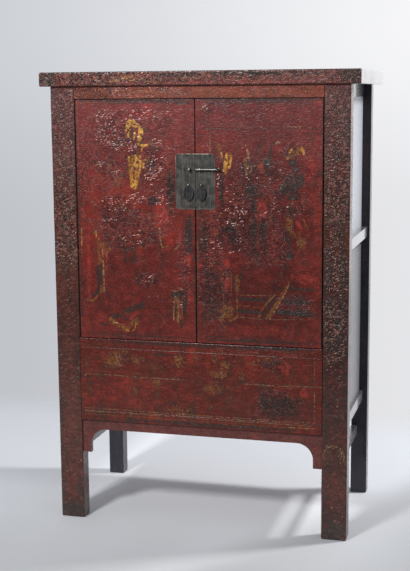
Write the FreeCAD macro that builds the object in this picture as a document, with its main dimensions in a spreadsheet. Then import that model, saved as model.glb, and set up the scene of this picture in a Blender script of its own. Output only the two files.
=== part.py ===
"""A two-door wedding cabinet of lacquered wood.

It has a mortised post-and-rail carcase, doors on wooden pivots and a split lock plate.

+Z is up and the front faces -Y. The origin is the middle of the cabinet's outline on the floor.
Across the front, u is a distance outward from the middle line, so one description serves left and right.
"""
import FreeCAD, Part
import os
import re
import Sketcher

SIZES = {
    # whole carcase
    "cabinet_width": 1120, "cabinet_depth": 606, "post_height": 1662,
    "front_post_width": 94, "front_post_depth": 62, "rear_post_width": 64, "rear_post_depth": 54,
    "post_arris": 4, "foot_chamfer": 3,
    # top: a mitred frame round a floating panel
    "top_thickness": 52, "top_overhang_side": 37, "top_overhang_front": 14, "top_member_width": 90,
    "top_arris": 5, "top_panel_thickness": 16, "top_panel_drop": 1,
    "top_batten_width": 40, "top_batten_height": 24, "top_batten_spacing": 380, "batten_tenon": 10,
    "post_tenon_inset": 8, "post_tenon_width": 24, "post_tenon_depth": 28, "post_tenon_height": 30,
    "mitre_tenon_inset": 26, "mitre_tenon_width": 30, "mitre_tenon_thickness": 14, "mitre_tenon_wall": 14,
    # mortise and tenon joints of the rails
    "front_tenon_length": 30, "side_tenon_length": 18, "rear_tenon_length": 18,
    "tenon_thickness": 12, "tenon_shoulder": 6,
    # tongues of boards and the grooves that hold them
    "groove_depth": 8, "tongue_thickness": 6,
    # front
    "front_rail_depth": 34, "front_top_rail_height": 46, "sill_level": 718, "sill_rail_height": 34,
    "board_joint_level": 576, "front_board_thickness": 16,
    "front_bottom_rail_level": 437, "front_bottom_rail_height": 39,
    "apron_setback": 9, "apron_thickness": 18, "apron_height": 39, "apron_tongue": 8,
    "spandrel_foot_width": 33, "spandrel_drop": 93, "spandrel_radius": 61,
    # sides
    "side_rail_inset": 10, "side_rail_inner_inset": 54,
    "side_top_rail_inset": 31.5, "side_top_rail_height": 46,
    "mid_rail_level": 1105, "mid_rail_height": 40,
    "low_rail_inset": 20, "low_rail_level": 437, "low_rail_height": 42,
    "stretcher_inset": 40, "stretcher_thickness": 22, "stretcher_level": 290, "stretcher_height": 40,
    "side_panel_inset": 33, "side_panel_thickness": 12,
    # rear
    "rear_rail_inset": 8, "rear_rail_thickness": 37, "rear_top_rail_height": 46,
    "rear_panel_inset": 24, "rear_panel_thickness": 12,
    # shelf, floor over the lower compartment, bottom
    "shelf_thickness": 16, "floor_thickness": 16, "bottom_thickness": 14, "board_ease": 0.5,
    "bearer_height": 26, "bearer_thickness": 14, "bearer_tenon": 10,
    "lid_width": 360, "finger_hole_radius": 14, "finger_hole_setback": 60,
    # doors
    "door_recess": 2, "door_thickness": 30, "door_gap": 3, "door_side_gap": 3,
    "meeting_offset": 4, "meeting_gap": 4, "door_stile_width": 36, "door_rail_width": 36,
    "door_tenon_thickness": 8, "door_tenon_length": 20,
    "door_panel_thickness": 12, "door_groove_depth": 7, "door_tongue_thickness": 4,
    "door_batten_thickness": 14, "door_batten_height": 36, "door_batten_tenon": 8,
    "door_batten_share": 0.22, "hinge_edge_share": 0.45,
    "pivot_radius": 8, "pivot_length": 14, "pivot_play": 0.3, "running_fit": 0.05,
    # lock plate, staples and pin
    "plate_half_width": 73, "plate_height": 203, "plate_drop": 198, "plate_thickness": 1.6,
    "plate_corner_radius": 11, "plate_edge_overhang": 1.6,
    "staple_drop": 57, "staple_offset": 20, "staple_strip_thickness": 3, "staple_strip_width": 5,
    "pin_clearance": 0.3,
    "shank_radius": 2.4, "clinch_length": 18, "clinch_width": 6, "clinch_thickness": 2,
    "pin_radius": 3.6, "pin_bar_length": 74, "pin_chamfer": 1.2, "pin_draw": 52, "pin_left_reach": 50,
    "pin_collar_radius": 6, "pin_collar_width": 3, "pin_neck_radius": 2.6, "pin_neck_length": 3,
    "pin_bead_radius": 5.6, "pin_bead_length": 9, "pin_tip_radius": 4.2, "pin_tip_length": 8,
    # drop pulls
    "pull_drop": 114, "pull_offset": 24,
    "eye_ring_radius": 5, "eye_strip_thickness": 2.2, "eye_strip_width": 2.4,
    "pull_length": 60, "pull_width": 36, "pull_thickness": 2.4,
    "pull_hole_radius": 2.2, "pull_hole_margin": 7,
}
MATCH = 0.001

doc = FreeCAD.newDocument("wedding_cabinet")
sheet = doc.addObject("Spreadsheet::Sheet", "Sizes")
for row, (name, value) in enumerate(SIZES.items(), 1):
    sheet.set(f"A{row}", name)
    sheet.set(f"B{row}", str(value))
    sheet.setAlias(f"B{row}", name)
doc.recompute()


def sized(text):
    """Point every size name in an expression at the sheet."""
    def pointed(word):
        return f"Sizes.{word[0]}" if word[0] in SIZES else word[0]

    return re.sub(r"[a-z][a-z_0-9]*", pointed, text)


def value_of(text):
    """The present value of an expression."""
    return float(sheet.evalExpression(sized(text)))


def plus(first, second):
    return f"({first} + {second})"


def minus(first, second):
    return f"({first} - {second})"


def grown(span, amount):
    return minus(span[0], amount), plus(span[1], amount)


def outward(side, low, high):
    """A span from u = low to u = high on one side, as a span of x."""
    return (low, high) if side > 0 else (f"(-{high})", f"(-{low})")


def centred(middle, width):
    return f"({middle} - {width} / 2)", f"({middle} + {width} / 2)"


PLANES = {"z": "XY_Plane", "y": "XZ_Plane", "x": "YZ_Plane"}
LEFT, RIGHT = -1, 1
SIDES = ((LEFT, "left"), (RIGHT, "right"))
nodes = []


def new_body(label):
    body = doc.addObject("PartDesign::Body", label)
    body.Label = label
    body.AllowCompound = True
    nodes.append(body)
    return body


def sketch_on(body, along, start):
    """A sketch square to one axis, at the expression start along it."""
    plane = next(item for item in body.Origin.OriginFeatures if item.Role == PLANES[along])
    sketch = body.newObject("Sketcher::SketchObject", "Outline")
    sketch.AttachmentSupport = [(plane, "")]
    sketch.MapMode = "FlatFace"
    sketch.setExpression("AttachmentOffset.Base.z", sized(f"-({start})" if along == "y" else start))
    return sketch


def pin_point(sketch, element, end, point):
    """Tie one point of a sketch to two expressions."""
    for kind, text in zip(("DistanceX", "DistanceY"), point):
        number = sketch.addConstraint(Sketcher.Constraint(kind, -1, 1, element, end, value_of(text)))
        sketch.setExpression(f"Constraints[{number}]", sized(text))


def extrude(body, sketch, along, span, cut):
    """Pad or pocket a sketch from the low end of a span to its high end."""
    before = body.Shape.Volume if cut else 0
    feature = body.newObject("PartDesign::Pocket" if cut else "PartDesign::Pad", "Cut" if cut else "Pad")
    feature.Profile = sketch
    feature.setExpression("Length", sized(f"{span[1]} - {span[0]}"))
    feature.Reversed = cut != (along == "y")
    doc.recompute()
    if cut and body.Shape.Volume >= before:
        raise ValueError(f"a cut in {body.Label} removes nothing")
    return feature


def prism(body, along, points, span, cut=False):
    """A straight-sided outline of expression pairs, run along one axis."""
    sketch = sketch_on(body, along, span[0])
    corners = [FreeCAD.Vector(value_of(first), value_of(second), 0) for first, second in points]
    for index, corner in enumerate(corners):
        sketch.addGeometry(Part.LineSegment(corner, corners[(index + 1) % len(corners)]), False)
    for index, point in enumerate(points):
        sketch.addConstraint(Sketcher.Constraint("Coincident", index, 2, (index + 1) % len(points), 1))
        pin_point(sketch, index, 1, point)
    return extrude(body, sketch, along, span, cut)


def block(body, box, cut=False):
    """A rectangular block, or a rectangular cut, between three spans."""
    (x0, x1), (y0, y1), spanned = box
    return prism(body, "z", [(x0, y0), (x1, y0), (x1, y1), (x0, y1)], spanned, cut)


def disc(body, along, centre, radius, span, cut=False):
    """A round peg or hole along one axis."""
    sketch = sketch_on(body, along, span[0])
    place = FreeCAD.Vector(value_of(centre[0]), value_of(centre[1]), 0)
    sketch.addGeometry(Part.Circle(place, FreeCAD.Vector(0, 0, 1), value_of(radius)), False)
    pin_point(sketch, 0, 3, centre)
    number = sketch.addConstraint(Sketcher.Constraint("Radius", 0, value_of(radius)))
    sketch.setExpression(f"Constraints[{number}]", sized(radius))
    return extrude(body, sketch, along, span, cut)


def edge_names(body, along, **places):
    """The edges that run along one axis at the stated places on the other axes."""
    found = []
    for number, edge in enumerate(body.Shape.Edges, 1):
        box = edge.BoundBox
        ends = {"x": (box.XMin, box.XMax), "y": (box.YMin, box.YMax), "z": (box.ZMin, box.ZMax)}
        straight = all(ends[axis][1] - ends[axis][0] < MATCH for axis in "xyz" if axis != along)
        wanted = {axis: [value_of(text) for text in texts] for axis, texts in places.items()}
        if straight and all(
            any(abs(ends[axis][0] - value) < MATCH for value in values) for axis, values in wanted.items()
        ):
            found.append(f"Edge{number}")
    return found


def rounded(body, radius, along, **places):
    edges = edge_names(body, along, **places)
    tip = body.Tip
    feature = body.newObject("PartDesign::Fillet", "Round")
    feature.Base = (tip, edges)
    feature.setExpression("Radius", sized(radius))
    doc.recompute()
    return feature


def tenoned(label, box, along, length, ends=(LEFT, RIGHT)):
    """A rail with a shouldered tenon on its ends; returns the body and the tenons' boxes."""
    body = new_body(label)
    block(body, box)
    cheek = "xy".replace(along, "")
    tenons = []
    for end in ends:
        tenon = list(box)
        reach = box["xyz".index(along)]
        if end < 0:
            tenon["xyz".index(along)] = (minus(reach[0], length), reach[0])
        else:
            tenon["xyz".index(along)] = (reach[1], plus(reach[1], length))
        across = box["xyz".index(cheek)]
        tenon["xyz".index(cheek)] = centred(f"(({across[0]} + {across[1]}) / 2)", "tenon_thickness")
        tenon[2] = (plus(box[2][0], "tenon_shoulder"), minus(box[2][1], "tenon_shoulder"))
        block(body, tenon)
        tenons.append(tenon)
    return body, tenons


def tongued(label, box, thin, tongue, depth, thickness, axes):
    """A board whose edges carry a tongue of their own thickness, with the corners left out."""
    body = new_body(label)
    block(body, box)
    slot = "xyz".index(thin)
    for axis in axes:
        strip = list(box)
        strip[slot] = tongue
        place = "xyz".index(axis)
        strip[place] = grown(box[place], depth)
        block(body, strip)
    return body


# levels and planes that the pieces share
POST_OUT = "(cabinet_width / 2)"
FRONT_IN = "(cabinet_width / 2 - front_post_width)"
REAR_IN = "(cabinet_width / 2 - rear_post_width)"
FRONT = "((top_overhang_front - cabinet_depth) / 2)"
REAR = "((top_overhang_front + cabinet_depth) / 2)"
FRONT_POST_BACK = plus(FRONT, "front_post_depth")
REAR_POST_FACE = minus(REAR, "rear_post_depth")
TOP_EDGE = "((cabinet_depth + top_overhang_front) / 2)"
TOP_SIDE = "(cabinet_width / 2 + top_overhang_side)"
TOP_LEVEL = "(post_height + top_thickness)"
HEAD_LEVEL = "(post_height - front_top_rail_height)"
SILL_UNDER = "(sill_level - sill_rail_height)"
FRONT_BOTTOM_UNDER = "(front_bottom_rail_level - front_bottom_rail_height)"
SIDE_TOP_UNDER = "(post_height - side_top_rail_height)"
REAR_TOP_UNDER = "(post_height - rear_top_rail_height)"
MID_UNDER = "(mid_rail_level - mid_rail_height)"
LOW_UNDER = "(low_rail_level - low_rail_height)"
FRONT_RAIL_BACK = plus(FRONT, "front_rail_depth")
FRONT_BOARD_BACK = plus(FRONT, "front_board_thickness")
SIDE_RAIL_IN = "(cabinet_width / 2 - side_rail_inner_inset)"
SIDE_PANEL = (f"({POST_OUT} - side_panel_inset - side_panel_thickness)", minus(POST_OUT, "side_panel_inset"))
REAR_RAIL = (f"({REAR} - rear_rail_inset - rear_rail_thickness)", minus(REAR, "rear_rail_inset"))
REAR_PANEL = (f"({REAR} - rear_panel_inset - rear_panel_thickness)", minus(REAR, "rear_panel_inset"))
BETWEEN_FRONT = (f"(-{FRONT_IN})", FRONT_IN)
BETWEEN_REAR = (f"(-{REAR_IN})", REAR_IN)
BETWEEN_POSTS = (FRONT_POST_BACK, REAR_POST_FACE)
FRONT_RAIL = (FRONT, FRONT_RAIL_BACK)


def middle(span):
    return f"(({span[0]} + {span[1]}) / 2)"


def tongue_of(span, thickness):
    return centred(middle(span), thickness)


SIDE_TONGUE = tongue_of(SIDE_PANEL, "tongue_thickness")
REAR_TONGUE = tongue_of(REAR_PANEL, "tongue_thickness")
FRONT_BOARD = (FRONT, FRONT_BOARD_BACK)
FRONT_TONGUE = tongue_of(FRONT_BOARD, "tongue_thickness")
TOP_PANEL = (f"({TOP_LEVEL} - top_panel_drop - top_panel_thickness)", minus(TOP_LEVEL, "top_panel_drop"))
TOP_TONGUE = tongue_of(TOP_PANEL, "tongue_thickness")
MITRE_TENON = centred(f"({TOP_LEVEL} - top_thickness / 2)", "mitre_tenon_thickness")

# doors
DOOR_FACE = plus(FRONT, "door_recess")
DOOR_BACK = plus(DOOR_FACE, "door_thickness")
DOOR = (DOOR_FACE, DOOR_BACK)
DOOR_OUT = minus(FRONT_IN, "door_side_gap")
DOOR_LOW = "(sill_level + door_gap)"
DOOR_HIGH = minus(HEAD_LEVEL, "door_gap")
MEET = {LEFT: "(meeting_gap / 2 + meeting_offset)", RIGHT: "(meeting_gap / 2 - meeting_offset)"}
DOOR_PANEL = (DOOR_FACE, plus(DOOR_FACE, "door_panel_thickness"))
DOOR_TONGUE = tongue_of(DOOR_PANEL, "door_tongue_thickness")
DOOR_TENON = tongue_of(DOOR, "door_tenon_thickness")
DOOR_BATTEN = (DOOR_PANEL[1], plus(DOOR_PANEL[1], "door_batten_thickness"))
PIVOT_Y = middle(DOOR)
PIVOT_U = minus(DOOR_OUT, "door_thickness / 2")
PLATE_FACE = minus(DOOR_FACE, "plate_thickness")
PLATE = (PLATE_FACE, DOOR_FACE)
PLATE_TOP = minus(HEAD_LEVEL, "plate_drop")
PLATE_HEIGHT = (minus(PLATE_TOP, "plate_height"), PLATE_TOP)
STAPLE_LEVEL = minus(PLATE_TOP, "staple_drop")
PULL_LEVEL = minus(PLATE_TOP, "pull_drop")
STAPLE_RING = "(pin_radius + pin_clearance + staple_strip_thickness / 2)"
PIN_Y = f"({PLATE_FACE} - {STAPLE_RING} - staple_strip_thickness / 2)"
EYE_Y = f"({PLATE_FACE} - eye_ring_radius - eye_strip_thickness / 2)"


def make_top():
    """Mitred frame with tenoned corners, floating panel and two battens under it."""
    inner_side = minus(TOP_SIDE, "top_member_width")
    inner_edge = minus(TOP_EDGE, "top_member_width")
    thickness = ("post_height", TOP_LEVEL)
    field = ((f"(-{inner_side})", inner_side), (f"(-{inner_edge})", inner_edge), TOP_PANEL)
    tenon_near = plus(inner_side, "mitre_tenon_inset")
    corner_tenon = (tenon_near, plus(tenon_near, "mitre_tenon_width"))
    batten_height = (minus(TOP_PANEL[0], "top_batten_height"), TOP_PANEL[0])
    battens = [
        outward(side, *centred("(top_batten_spacing / 2)", "top_batten_width")) for side, _ in SIDES
    ]
    for facing, label in ((LEFT, "top_front_member"), (RIGHT, "top_rear_member")):
        body = new_body(label)
        edge = f"(-{TOP_EDGE})" if facing < 0 else TOP_EDGE
        inner = f"(-{inner_edge})" if facing < 0 else inner_edge
        outline = [
            (f"(-{TOP_SIDE})", edge), (TOP_SIDE, edge), (inner_side, inner), (f"(-{inner_side})", inner),
        ]
        prism(body, "z", outline, thickness)
        rounded(body, "top_arris", "x", y=[edge], z=thickness)
        groove = outward(facing, inner_edge, plus(inner_edge, "groove_depth"))
        block(body, (field[0], groove, TOP_TONGUE), cut=True)
        post_y = post_tenon_span(facing)
        for side, _ in SIDES:
            inner_face = FRONT_IN if facing < 0 else REAR_IN
            block(body, (post_tenon_across(side, inner_face), post_y, post_tenon_rise()), cut=True)
            reach = outward(facing, inner_edge, minus(TOP_EDGE, "mitre_tenon_wall"))
            block(body, (outward(side, *corner_tenon), reach, MITRE_TENON), cut=True)
        housing = outward(facing, inner_edge, plus(inner_edge, "batten_tenon"))
        for across in battens:
            block(body, (across, housing, batten_height), cut=True)
    for side, word in SIDES:
        body = new_body(f"top_{word}_end")
        outline = [
            (f"({side} * {TOP_SIDE})", f"(-{TOP_EDGE})"), (f"({side} * {TOP_SIDE})", TOP_EDGE),
            (f"({side} * {inner_side})", inner_edge), (f"({side} * {inner_side})", f"(-{inner_edge})"),
        ]
        prism(body, "z", outline, thickness)
        rounded(body, "top_arris", "y", x=[f"({side} * {TOP_SIDE})"], z=thickness)
        for facing in (LEFT, RIGHT):
            tenon_root = minus(inner_edge, "mitre_tenon_inset")
            reach = outward(facing, tenon_root, minus(TOP_EDGE, "mitre_tenon_wall"))
            block(body, (outward(side, *corner_tenon), reach, MITRE_TENON))
        groove = outward(side, inner_side, plus(inner_side, "groove_depth"))
        block(body, (groove, field[1], TOP_TONGUE), cut=True)
    tongued("top_panel", field, "z", TOP_TONGUE, "groove_depth", "tongue_thickness", "xy")
    body = new_body("top_battens")
    for across in battens:
        block(body, (across, grown(field[1], "batten_tenon"), batten_height))


def post_tenon_across(side, inner_face):
    near = plus(inner_face, "post_tenon_inset")
    return outward(side, near, plus(near, "post_tenon_width"))


def post_tenon_span(facing):
    spans = {LEFT: (FRONT, FRONT_POST_BACK), RIGHT: (REAR_POST_FACE, REAR)}
    return centred(middle(spans[facing]), "post_tenon_depth")


def post_tenon_rise():
    return "post_height", "(post_height + post_tenon_height)"


def make_posts(mortises, grooves):
    """Four posts, each cut for the tenons and tongues that enter it."""
    rows = (
        ("front", LEFT, FRONT_IN, (FRONT, FRONT_POST_BACK)),
        ("rear", RIGHT, REAR_IN, (REAR_POST_FACE, REAR)),
    )
    for place, facing, inner_face, depth in rows:
        for side, word in SIDES:
            body = new_body(f"{place}_{word}_post")
            block(body, (outward(side, inner_face, POST_OUT), depth, ("0", "post_height")))
            rounded(body, "post_arris", "z", x=[f"({side} * {POST_OUT})"])
            foot = body.newObject("PartDesign::Chamfer", "Foot")
            foot.Base = (foot.BaseFeature, foot_edges(body))
            foot.setExpression("Size", sized("foot_chamfer"))
            doc.recompute()
            block(body, (post_tenon_across(side, inner_face), post_tenon_span(facing), post_tenon_rise()))
            for hole in mortises[place, side] + grooves[place, side]:
                block(body, hole, cut=True)


def foot_edges(body):
    """Every edge of the post's foot, which lies on the floor."""
    edges = enumerate(body.Shape.Edges, 1)
    return [f"Edge{number}" for number, edge in edges if edge.BoundBox.ZMax < MATCH]


def make_front(mortises):
    """Rails between the front posts, the two lower boards and the apron with its spandrels."""
    rails = (
        ("front_top_rail", (HEAD_LEVEL, "post_height")),
        ("door_sill_rail", (SILL_UNDER, "sill_level")),
        ("front_bottom_rail", (FRONT_BOTTOM_UNDER, "front_bottom_rail_level")),
    )
    made = {}
    for label, height in rails:
        made[label], tenons = tenoned(label, (BETWEEN_FRONT, FRONT_RAIL, height), "x", "front_tenon_length")
        for (side, _), tenon in zip(SIDES, tenons):
            mortises["front", side].append(tenon)
    sockets = (
        ("front_top_rail", (HEAD_LEVEL, f"({HEAD_LEVEL} + pivot_length + pivot_play)")),
        ("door_sill_rail", ("(sill_level - pivot_length - pivot_play)", "sill_level")),
    )
    for label, height in sockets:
        for side, _ in SIDES:
            centre = (f"({side} * {PIVOT_U})", PIVOT_Y)
            disc(made[label], "z", centre, "(pivot_radius + running_fit)", height, cut=True)
    rail_top = "front_bottom_rail_level"
    grooves = (
        ("door_sill_rail", (SILL_UNDER, plus(SILL_UNDER, "groove_depth"))),
        ("front_bottom_rail", (minus(rail_top, "groove_depth"), rail_top)),
    )
    for label, height in grooves:
        block(made[label], (BETWEEN_FRONT, FRONT_TONGUE, height), cut=True)

    lower = ("front_bottom_rail_level", "board_joint_level")
    upper = ("board_joint_level", SILL_UNDER)
    board = new_body("lower_front_board")
    block(board, (BETWEEN_FRONT, FRONT_BOARD, lower))
    block(board, (grown(BETWEEN_FRONT, "groove_depth"), FRONT_TONGUE, lower))
    block(board, (BETWEEN_FRONT, FRONT_TONGUE, grown(lower, "groove_depth")))
    board = new_body("upper_front_board")
    block(board, (BETWEEN_FRONT, FRONT_BOARD, upper))
    block(board, (grown(BETWEEN_FRONT, "groove_depth"), FRONT_TONGUE, upper))
    block(board, (BETWEEN_FRONT, FRONT_TONGUE, (upper[0], plus(upper[1], "groove_depth"))))
    joint = ("board_joint_level", "(board_joint_level + groove_depth)")
    block(board, (grown(BETWEEN_FRONT, "groove_depth"), FRONT_TONGUE, joint), cut=True)
    make_apron(made["front_bottom_rail"])


def make_apron(rail):
    """The apron hangs by a tongue under the rail; quarter-round spandrels run down both posts."""
    depth = (plus(FRONT, "apron_setback"), f"({FRONT} + apron_setback + apron_thickness)")
    under = minus(FRONT_BOTTOM_UNDER, "apron_height")
    foot = minus(under, "spandrel_drop")
    inner = minus(FRONT_IN, "spandrel_foot_width")
    half = [(FRONT_IN, FRONT_BOTTOM_UNDER), (FRONT_IN, foot), (inner, foot), (inner, under)]
    outline = half + [(f"(-{across})", level) for across, level in reversed(half)]
    body = new_body("front_apron")
    prism(body, "y", outline, depth)
    rounded(body, "spandrel_radius", "y", x=[inner, f"(-{inner})"], z=[under])
    height = (FRONT_BOTTOM_UNDER, plus(FRONT_BOTTOM_UNDER, "apron_tongue"))
    tongue = (tongue_of(depth, "tongue_thickness"), height)
    block(body, (BETWEEN_FRONT, *tongue))
    block(rail, (BETWEEN_FRONT, *tongue), cut=True)


def make_sides(mortises, grooves):
    """On each side: three rails, a low stretcher and two thin panels."""
    rail_inner = SIDE_RAIL_IN
    high_outer = minus(POST_OUT, "side_rail_inset")
    low_outer = minus(POST_OUT, "low_rail_inset")
    stretcher_outer = minus(POST_OUT, "stretcher_inset")
    stretcher = (minus(stretcher_outer, "stretcher_thickness"), stretcher_outer)
    rails = (
        ("side_top_rail", (rail_inner, minus(POST_OUT, "side_top_rail_inset")), (SIDE_TOP_UNDER, "post_height")),
        ("side_mid_rail", (rail_inner, high_outer), (MID_UNDER, "mid_rail_level")),
        ("side_low_rail", (rail_inner, low_outer), (LOW_UNDER, "low_rail_level")),
        ("side_stretcher", stretcher, ("(stretcher_level - stretcher_height)", "stretcher_level")),
    )
    slots = {
        "side_top_rail": [(SIDE_TOP_UNDER, plus(SIDE_TOP_UNDER, "groove_depth"))],
        "side_mid_rail": [
            (minus("mid_rail_level", "groove_depth"), "mid_rail_level"),
            (MID_UNDER, plus(MID_UNDER, "groove_depth")),
        ],
        "side_low_rail": [(minus("low_rail_level", "groove_depth"), "low_rail_level")],
        "side_stretcher": [],
    }
    panels = (("upper", ("mid_rail_level", SIDE_TOP_UNDER)), ("lower", ("low_rail_level", MID_UNDER)))
    for side, word in SIDES:
        tongue = outward(side, *SIDE_TONGUE)
        for name, across, height in rails:
            box = (outward(side, *across), BETWEEN_POSTS, height)
            body, tenons = tenoned(f"{word}_{name}", box, "y", "side_tenon_length")
            mortises["front", side].append(tenons[0])
            mortises["rear", side].append(tenons[1])
            for slot in slots[name]:
                block(body, (tongue, BETWEEN_POSTS, slot), cut=True)
        for place, height in panels:
            box = (outward(side, *SIDE_PANEL), BETWEEN_POSTS, height)
            label = f"{word}_{place}_side_panel"
            tongued(label, box, "x", tongue, "groove_depth", "tongue_thickness", "yz")
        length = ("low_rail_level", SIDE_TOP_UNDER)
        front_groove = (minus(FRONT_POST_BACK, "groove_depth"), FRONT_POST_BACK)
        rear_groove = (REAR_POST_FACE, plus(REAR_POST_FACE, "groove_depth"))
        grooves["front", side].append((tongue, front_groove, length))
        grooves["rear", side].append((tongue, rear_groove, length))


def make_rear(mortises, grooves):
    """Three rails and two panels behind, the same way as the sides."""
    top_slot = (REAR_TOP_UNDER, plus(REAR_TOP_UNDER, "groove_depth"))
    mid_slots = [
        (minus("mid_rail_level", "groove_depth"), "mid_rail_level"),
        (MID_UNDER, plus(MID_UNDER, "groove_depth")),
    ]
    low_slot = (minus("low_rail_level", "groove_depth"), "low_rail_level")
    rails = (
        ("rear_top_rail", (REAR_TOP_UNDER, "post_height"), [top_slot]),
        ("rear_mid_rail", (MID_UNDER, "mid_rail_level"), mid_slots),
        ("rear_low_rail", (LOW_UNDER, "low_rail_level"), [low_slot]),
    )
    for label, height, slots in rails:
        body, tenons = tenoned(label, (BETWEEN_REAR, REAR_RAIL, height), "x", "rear_tenon_length")
        for (side, _), tenon in zip(SIDES, tenons):
            mortises["rear", side].append(tenon)
        for slot in slots:
            block(body, (BETWEEN_REAR, REAR_TONGUE, slot), cut=True)
    panels = (("upper", ("mid_rail_level", REAR_TOP_UNDER)), ("lower", ("low_rail_level", MID_UNDER)))
    for place, height in panels:
        box = (BETWEEN_REAR, REAR_PANEL, height)
        tongued(f"rear_{place}_panel", box, "y", REAR_TONGUE, "groove_depth", "tongue_thickness", "xz")
    for side, _ in SIDES:
        slot = outward(side, REAR_IN, plus(REAR_IN, "groove_depth"))
        grooves["rear", side].append((slot, REAR_TONGUE, ("low_rail_level", REAR_TOP_UNDER)))


def mirrored_outline(points):
    return points + [(f"(-{across})", depth) for across, depth in reversed(points)]


def make_inside(mortises):
    """Shelf, floor over the lower compartment with its lift-out board, and the bottom."""
    side_edge = minus(SIDE_PANEL[0], "board_ease")
    rear_edge = minus(REAR_PANEL[0], "board_ease")
    behind_post = plus(FRONT_POST_BACK, "board_ease")
    before_post = minus(REAR_POST_FACE, "board_ease")
    rear_notch = minus(REAR_IN, "board_ease")
    front_notch = minus(FRONT_IN, "board_ease")
    back_half = [(side_edge, before_post), (rear_notch, before_post), (rear_notch, rear_edge)]

    shelf = new_body("shelf")
    height = ("mid_rail_level", "(mid_rail_level + shelf_thickness)")
    prism(shelf, "z", mirrored_outline([(side_edge, behind_post)] + back_half), height)

    front_edge = plus(FRONT_BOARD_BACK, "board_ease")
    bottom = new_body("bottom_boards")
    height = ("low_rail_level", "(low_rail_level + bottom_thickness)")
    corner = [(front_notch, front_edge), (front_notch, behind_post), (side_edge, behind_post)]
    prism(bottom, "z", mirrored_outline(corner + back_half), height)

    under = "(sill_level - floor_thickness)"
    bearers = new_body("floor_bearers")
    rise = (minus(under, "bearer_height"), under)
    front_bearer = (FRONT_RAIL_BACK, plus(FRONT_RAIL_BACK, "bearer_thickness"))
    rear_bearer = (minus(REAR_PANEL[0], "bearer_thickness"), REAR_PANEL[0])
    rows = (("front", BETWEEN_FRONT, front_bearer), ("rear", BETWEEN_REAR, rear_bearer))
    for place, across, depth in rows:
        block(bearers, (grown(across, "bearer_tenon"), depth, rise))
        inner = FRONT_IN if place == "front" else REAR_IN
        for side, _ in SIDES:
            end = outward(side, inner, plus(inner, "bearer_tenon"))
            mortises[place, side].append((end, depth, rise))

    floor_front = plus(FRONT_RAIL_BACK, "board_ease")
    height = (under, "sill_level")
    boards = new_body("fixed_floor_boards")
    for side, _ in SIDES:
        points = [("(lid_width / 2)", floor_front)]
        points += [(front_notch, floor_front), (front_notch, behind_post), (side_edge, behind_post)]
        points += back_half + [("(lid_width / 2)", rear_edge)]
        prism(boards, "z", [(f"({side} * {across})", depth) for across, depth in points], height)
    lid = new_body("floor_lid")
    half = "(lid_width / 2 - board_ease)"
    block(lid, ((f"(-{half})", half), (floor_front, rear_edge), height))
    hole = ("0", plus(floor_front, "finger_hole_setback"))
    disc(lid, "z", hole, "finger_hole_radius", height, cut=True)


def make_door(side, word):
    """Frame with a flush panel, two battens behind, round pivots and half of the lock plate."""
    meet = MEET[side]
    height = (DOOR_LOW, DOOR_HIGH)
    hinge_in = minus(DOOR_OUT, "door_stile_width")
    meet_in = plus(meet, "door_stile_width")
    field_height = (plus(DOOR_LOW, "door_rail_width"), minus(DOOR_HIGH, "door_rail_width"))
    field = (outward(side, meet_in, hinge_in), DOOR_PANEL, field_height)
    middle_level = f"(({DOOR_LOW} + {DOOR_HIGH}) / 2)"
    reach = f"(({DOOR_HIGH} - {DOOR_LOW}) * door_batten_share)"
    batten_levels = [
        centred(f"({middle_level} {sign} {reach})", "door_batten_height") for sign in "-+"
    ]
    top_slot = (field_height[1], plus(field_height[1], "door_groove_depth"))
    bottom_slot = (minus(field_height[0], "door_groove_depth"), field_height[0])
    rail_levels = (
        ("top_rail", (field_height[1], DOOR_HIGH), top_slot),
        ("bottom_rail", (DOOR_LOW, field_height[0]), bottom_slot),
    )
    rail_tenons = [
        (plus(rise[0], "tenon_shoulder"), minus(rise[1], "tenon_shoulder")) for _, rise, _ in rail_levels
    ]

    hinge = new_body(f"{word}_door_hinge_stile")
    block(hinge, (outward(side, hinge_in, DOOR_OUT), DOOR, height))
    rounded(hinge, "(door_thickness * hinge_edge_share)", "z", x=[f"({side} * {DOOR_OUT})"])
    centre = (f"({side} * {PIVOT_U})", PIVOT_Y)
    low_pivot = ("(sill_level - pivot_length)", plus(DOOR_LOW, "pivot_length"))
    high_pivot = (minus(DOOR_HIGH, "pivot_length"), plus(HEAD_LEVEL, "pivot_length"))
    disc(hinge, "z", centre, "pivot_radius", low_pivot)
    disc(hinge, "z", centre, "pivot_radius", high_pivot)
    meeting = new_body(f"{word}_door_meeting_stile")
    block(meeting, (outward(side, meet, meet_in), DOOR, height))
    depths = ("door_groove_depth", "door_tenon_length", "door_batten_tenon")
    stiles = (
        (hinge, [(hinge_in, plus(hinge_in, depth)) for depth in depths]),
        (meeting, [(minus(meet_in, depth), meet_in) for depth in depths]),
    )
    for stile, (groove, mortise, housing) in stiles:
        block(stile, (outward(side, *groove), DOOR_TONGUE, field_height), cut=True)
        for rise in rail_tenons:
            block(stile, (outward(side, *mortise), DOOR_TENON, rise), cut=True)
        for rise in batten_levels:
            block(stile, (outward(side, *housing), DOOR_BATTEN, rise), cut=True)

    for (name, rise, slot), tenon in zip(rail_levels, rail_tenons):
        rail = new_body(f"{word}_door_{name}")
        block(rail, (field[0], DOOR, rise))
        block(rail, (grown(field[0], "door_tenon_length"), DOOR_TENON, tenon))
        block(rail, (field[0], DOOR_TONGUE, slot), cut=True)
    label = f"{word}_door_panel"
    tongued(label, field, "y", DOOR_TONGUE, "door_groove_depth", "door_tongue_thickness", "xz")
    battens = new_body(f"{word}_door_battens")
    for rise in batten_levels:
        block(battens, (grown(field[0], "door_batten_tenon"), DOOR_BATTEN, rise))
    make_plate(side, word, meet, meeting)


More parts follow.
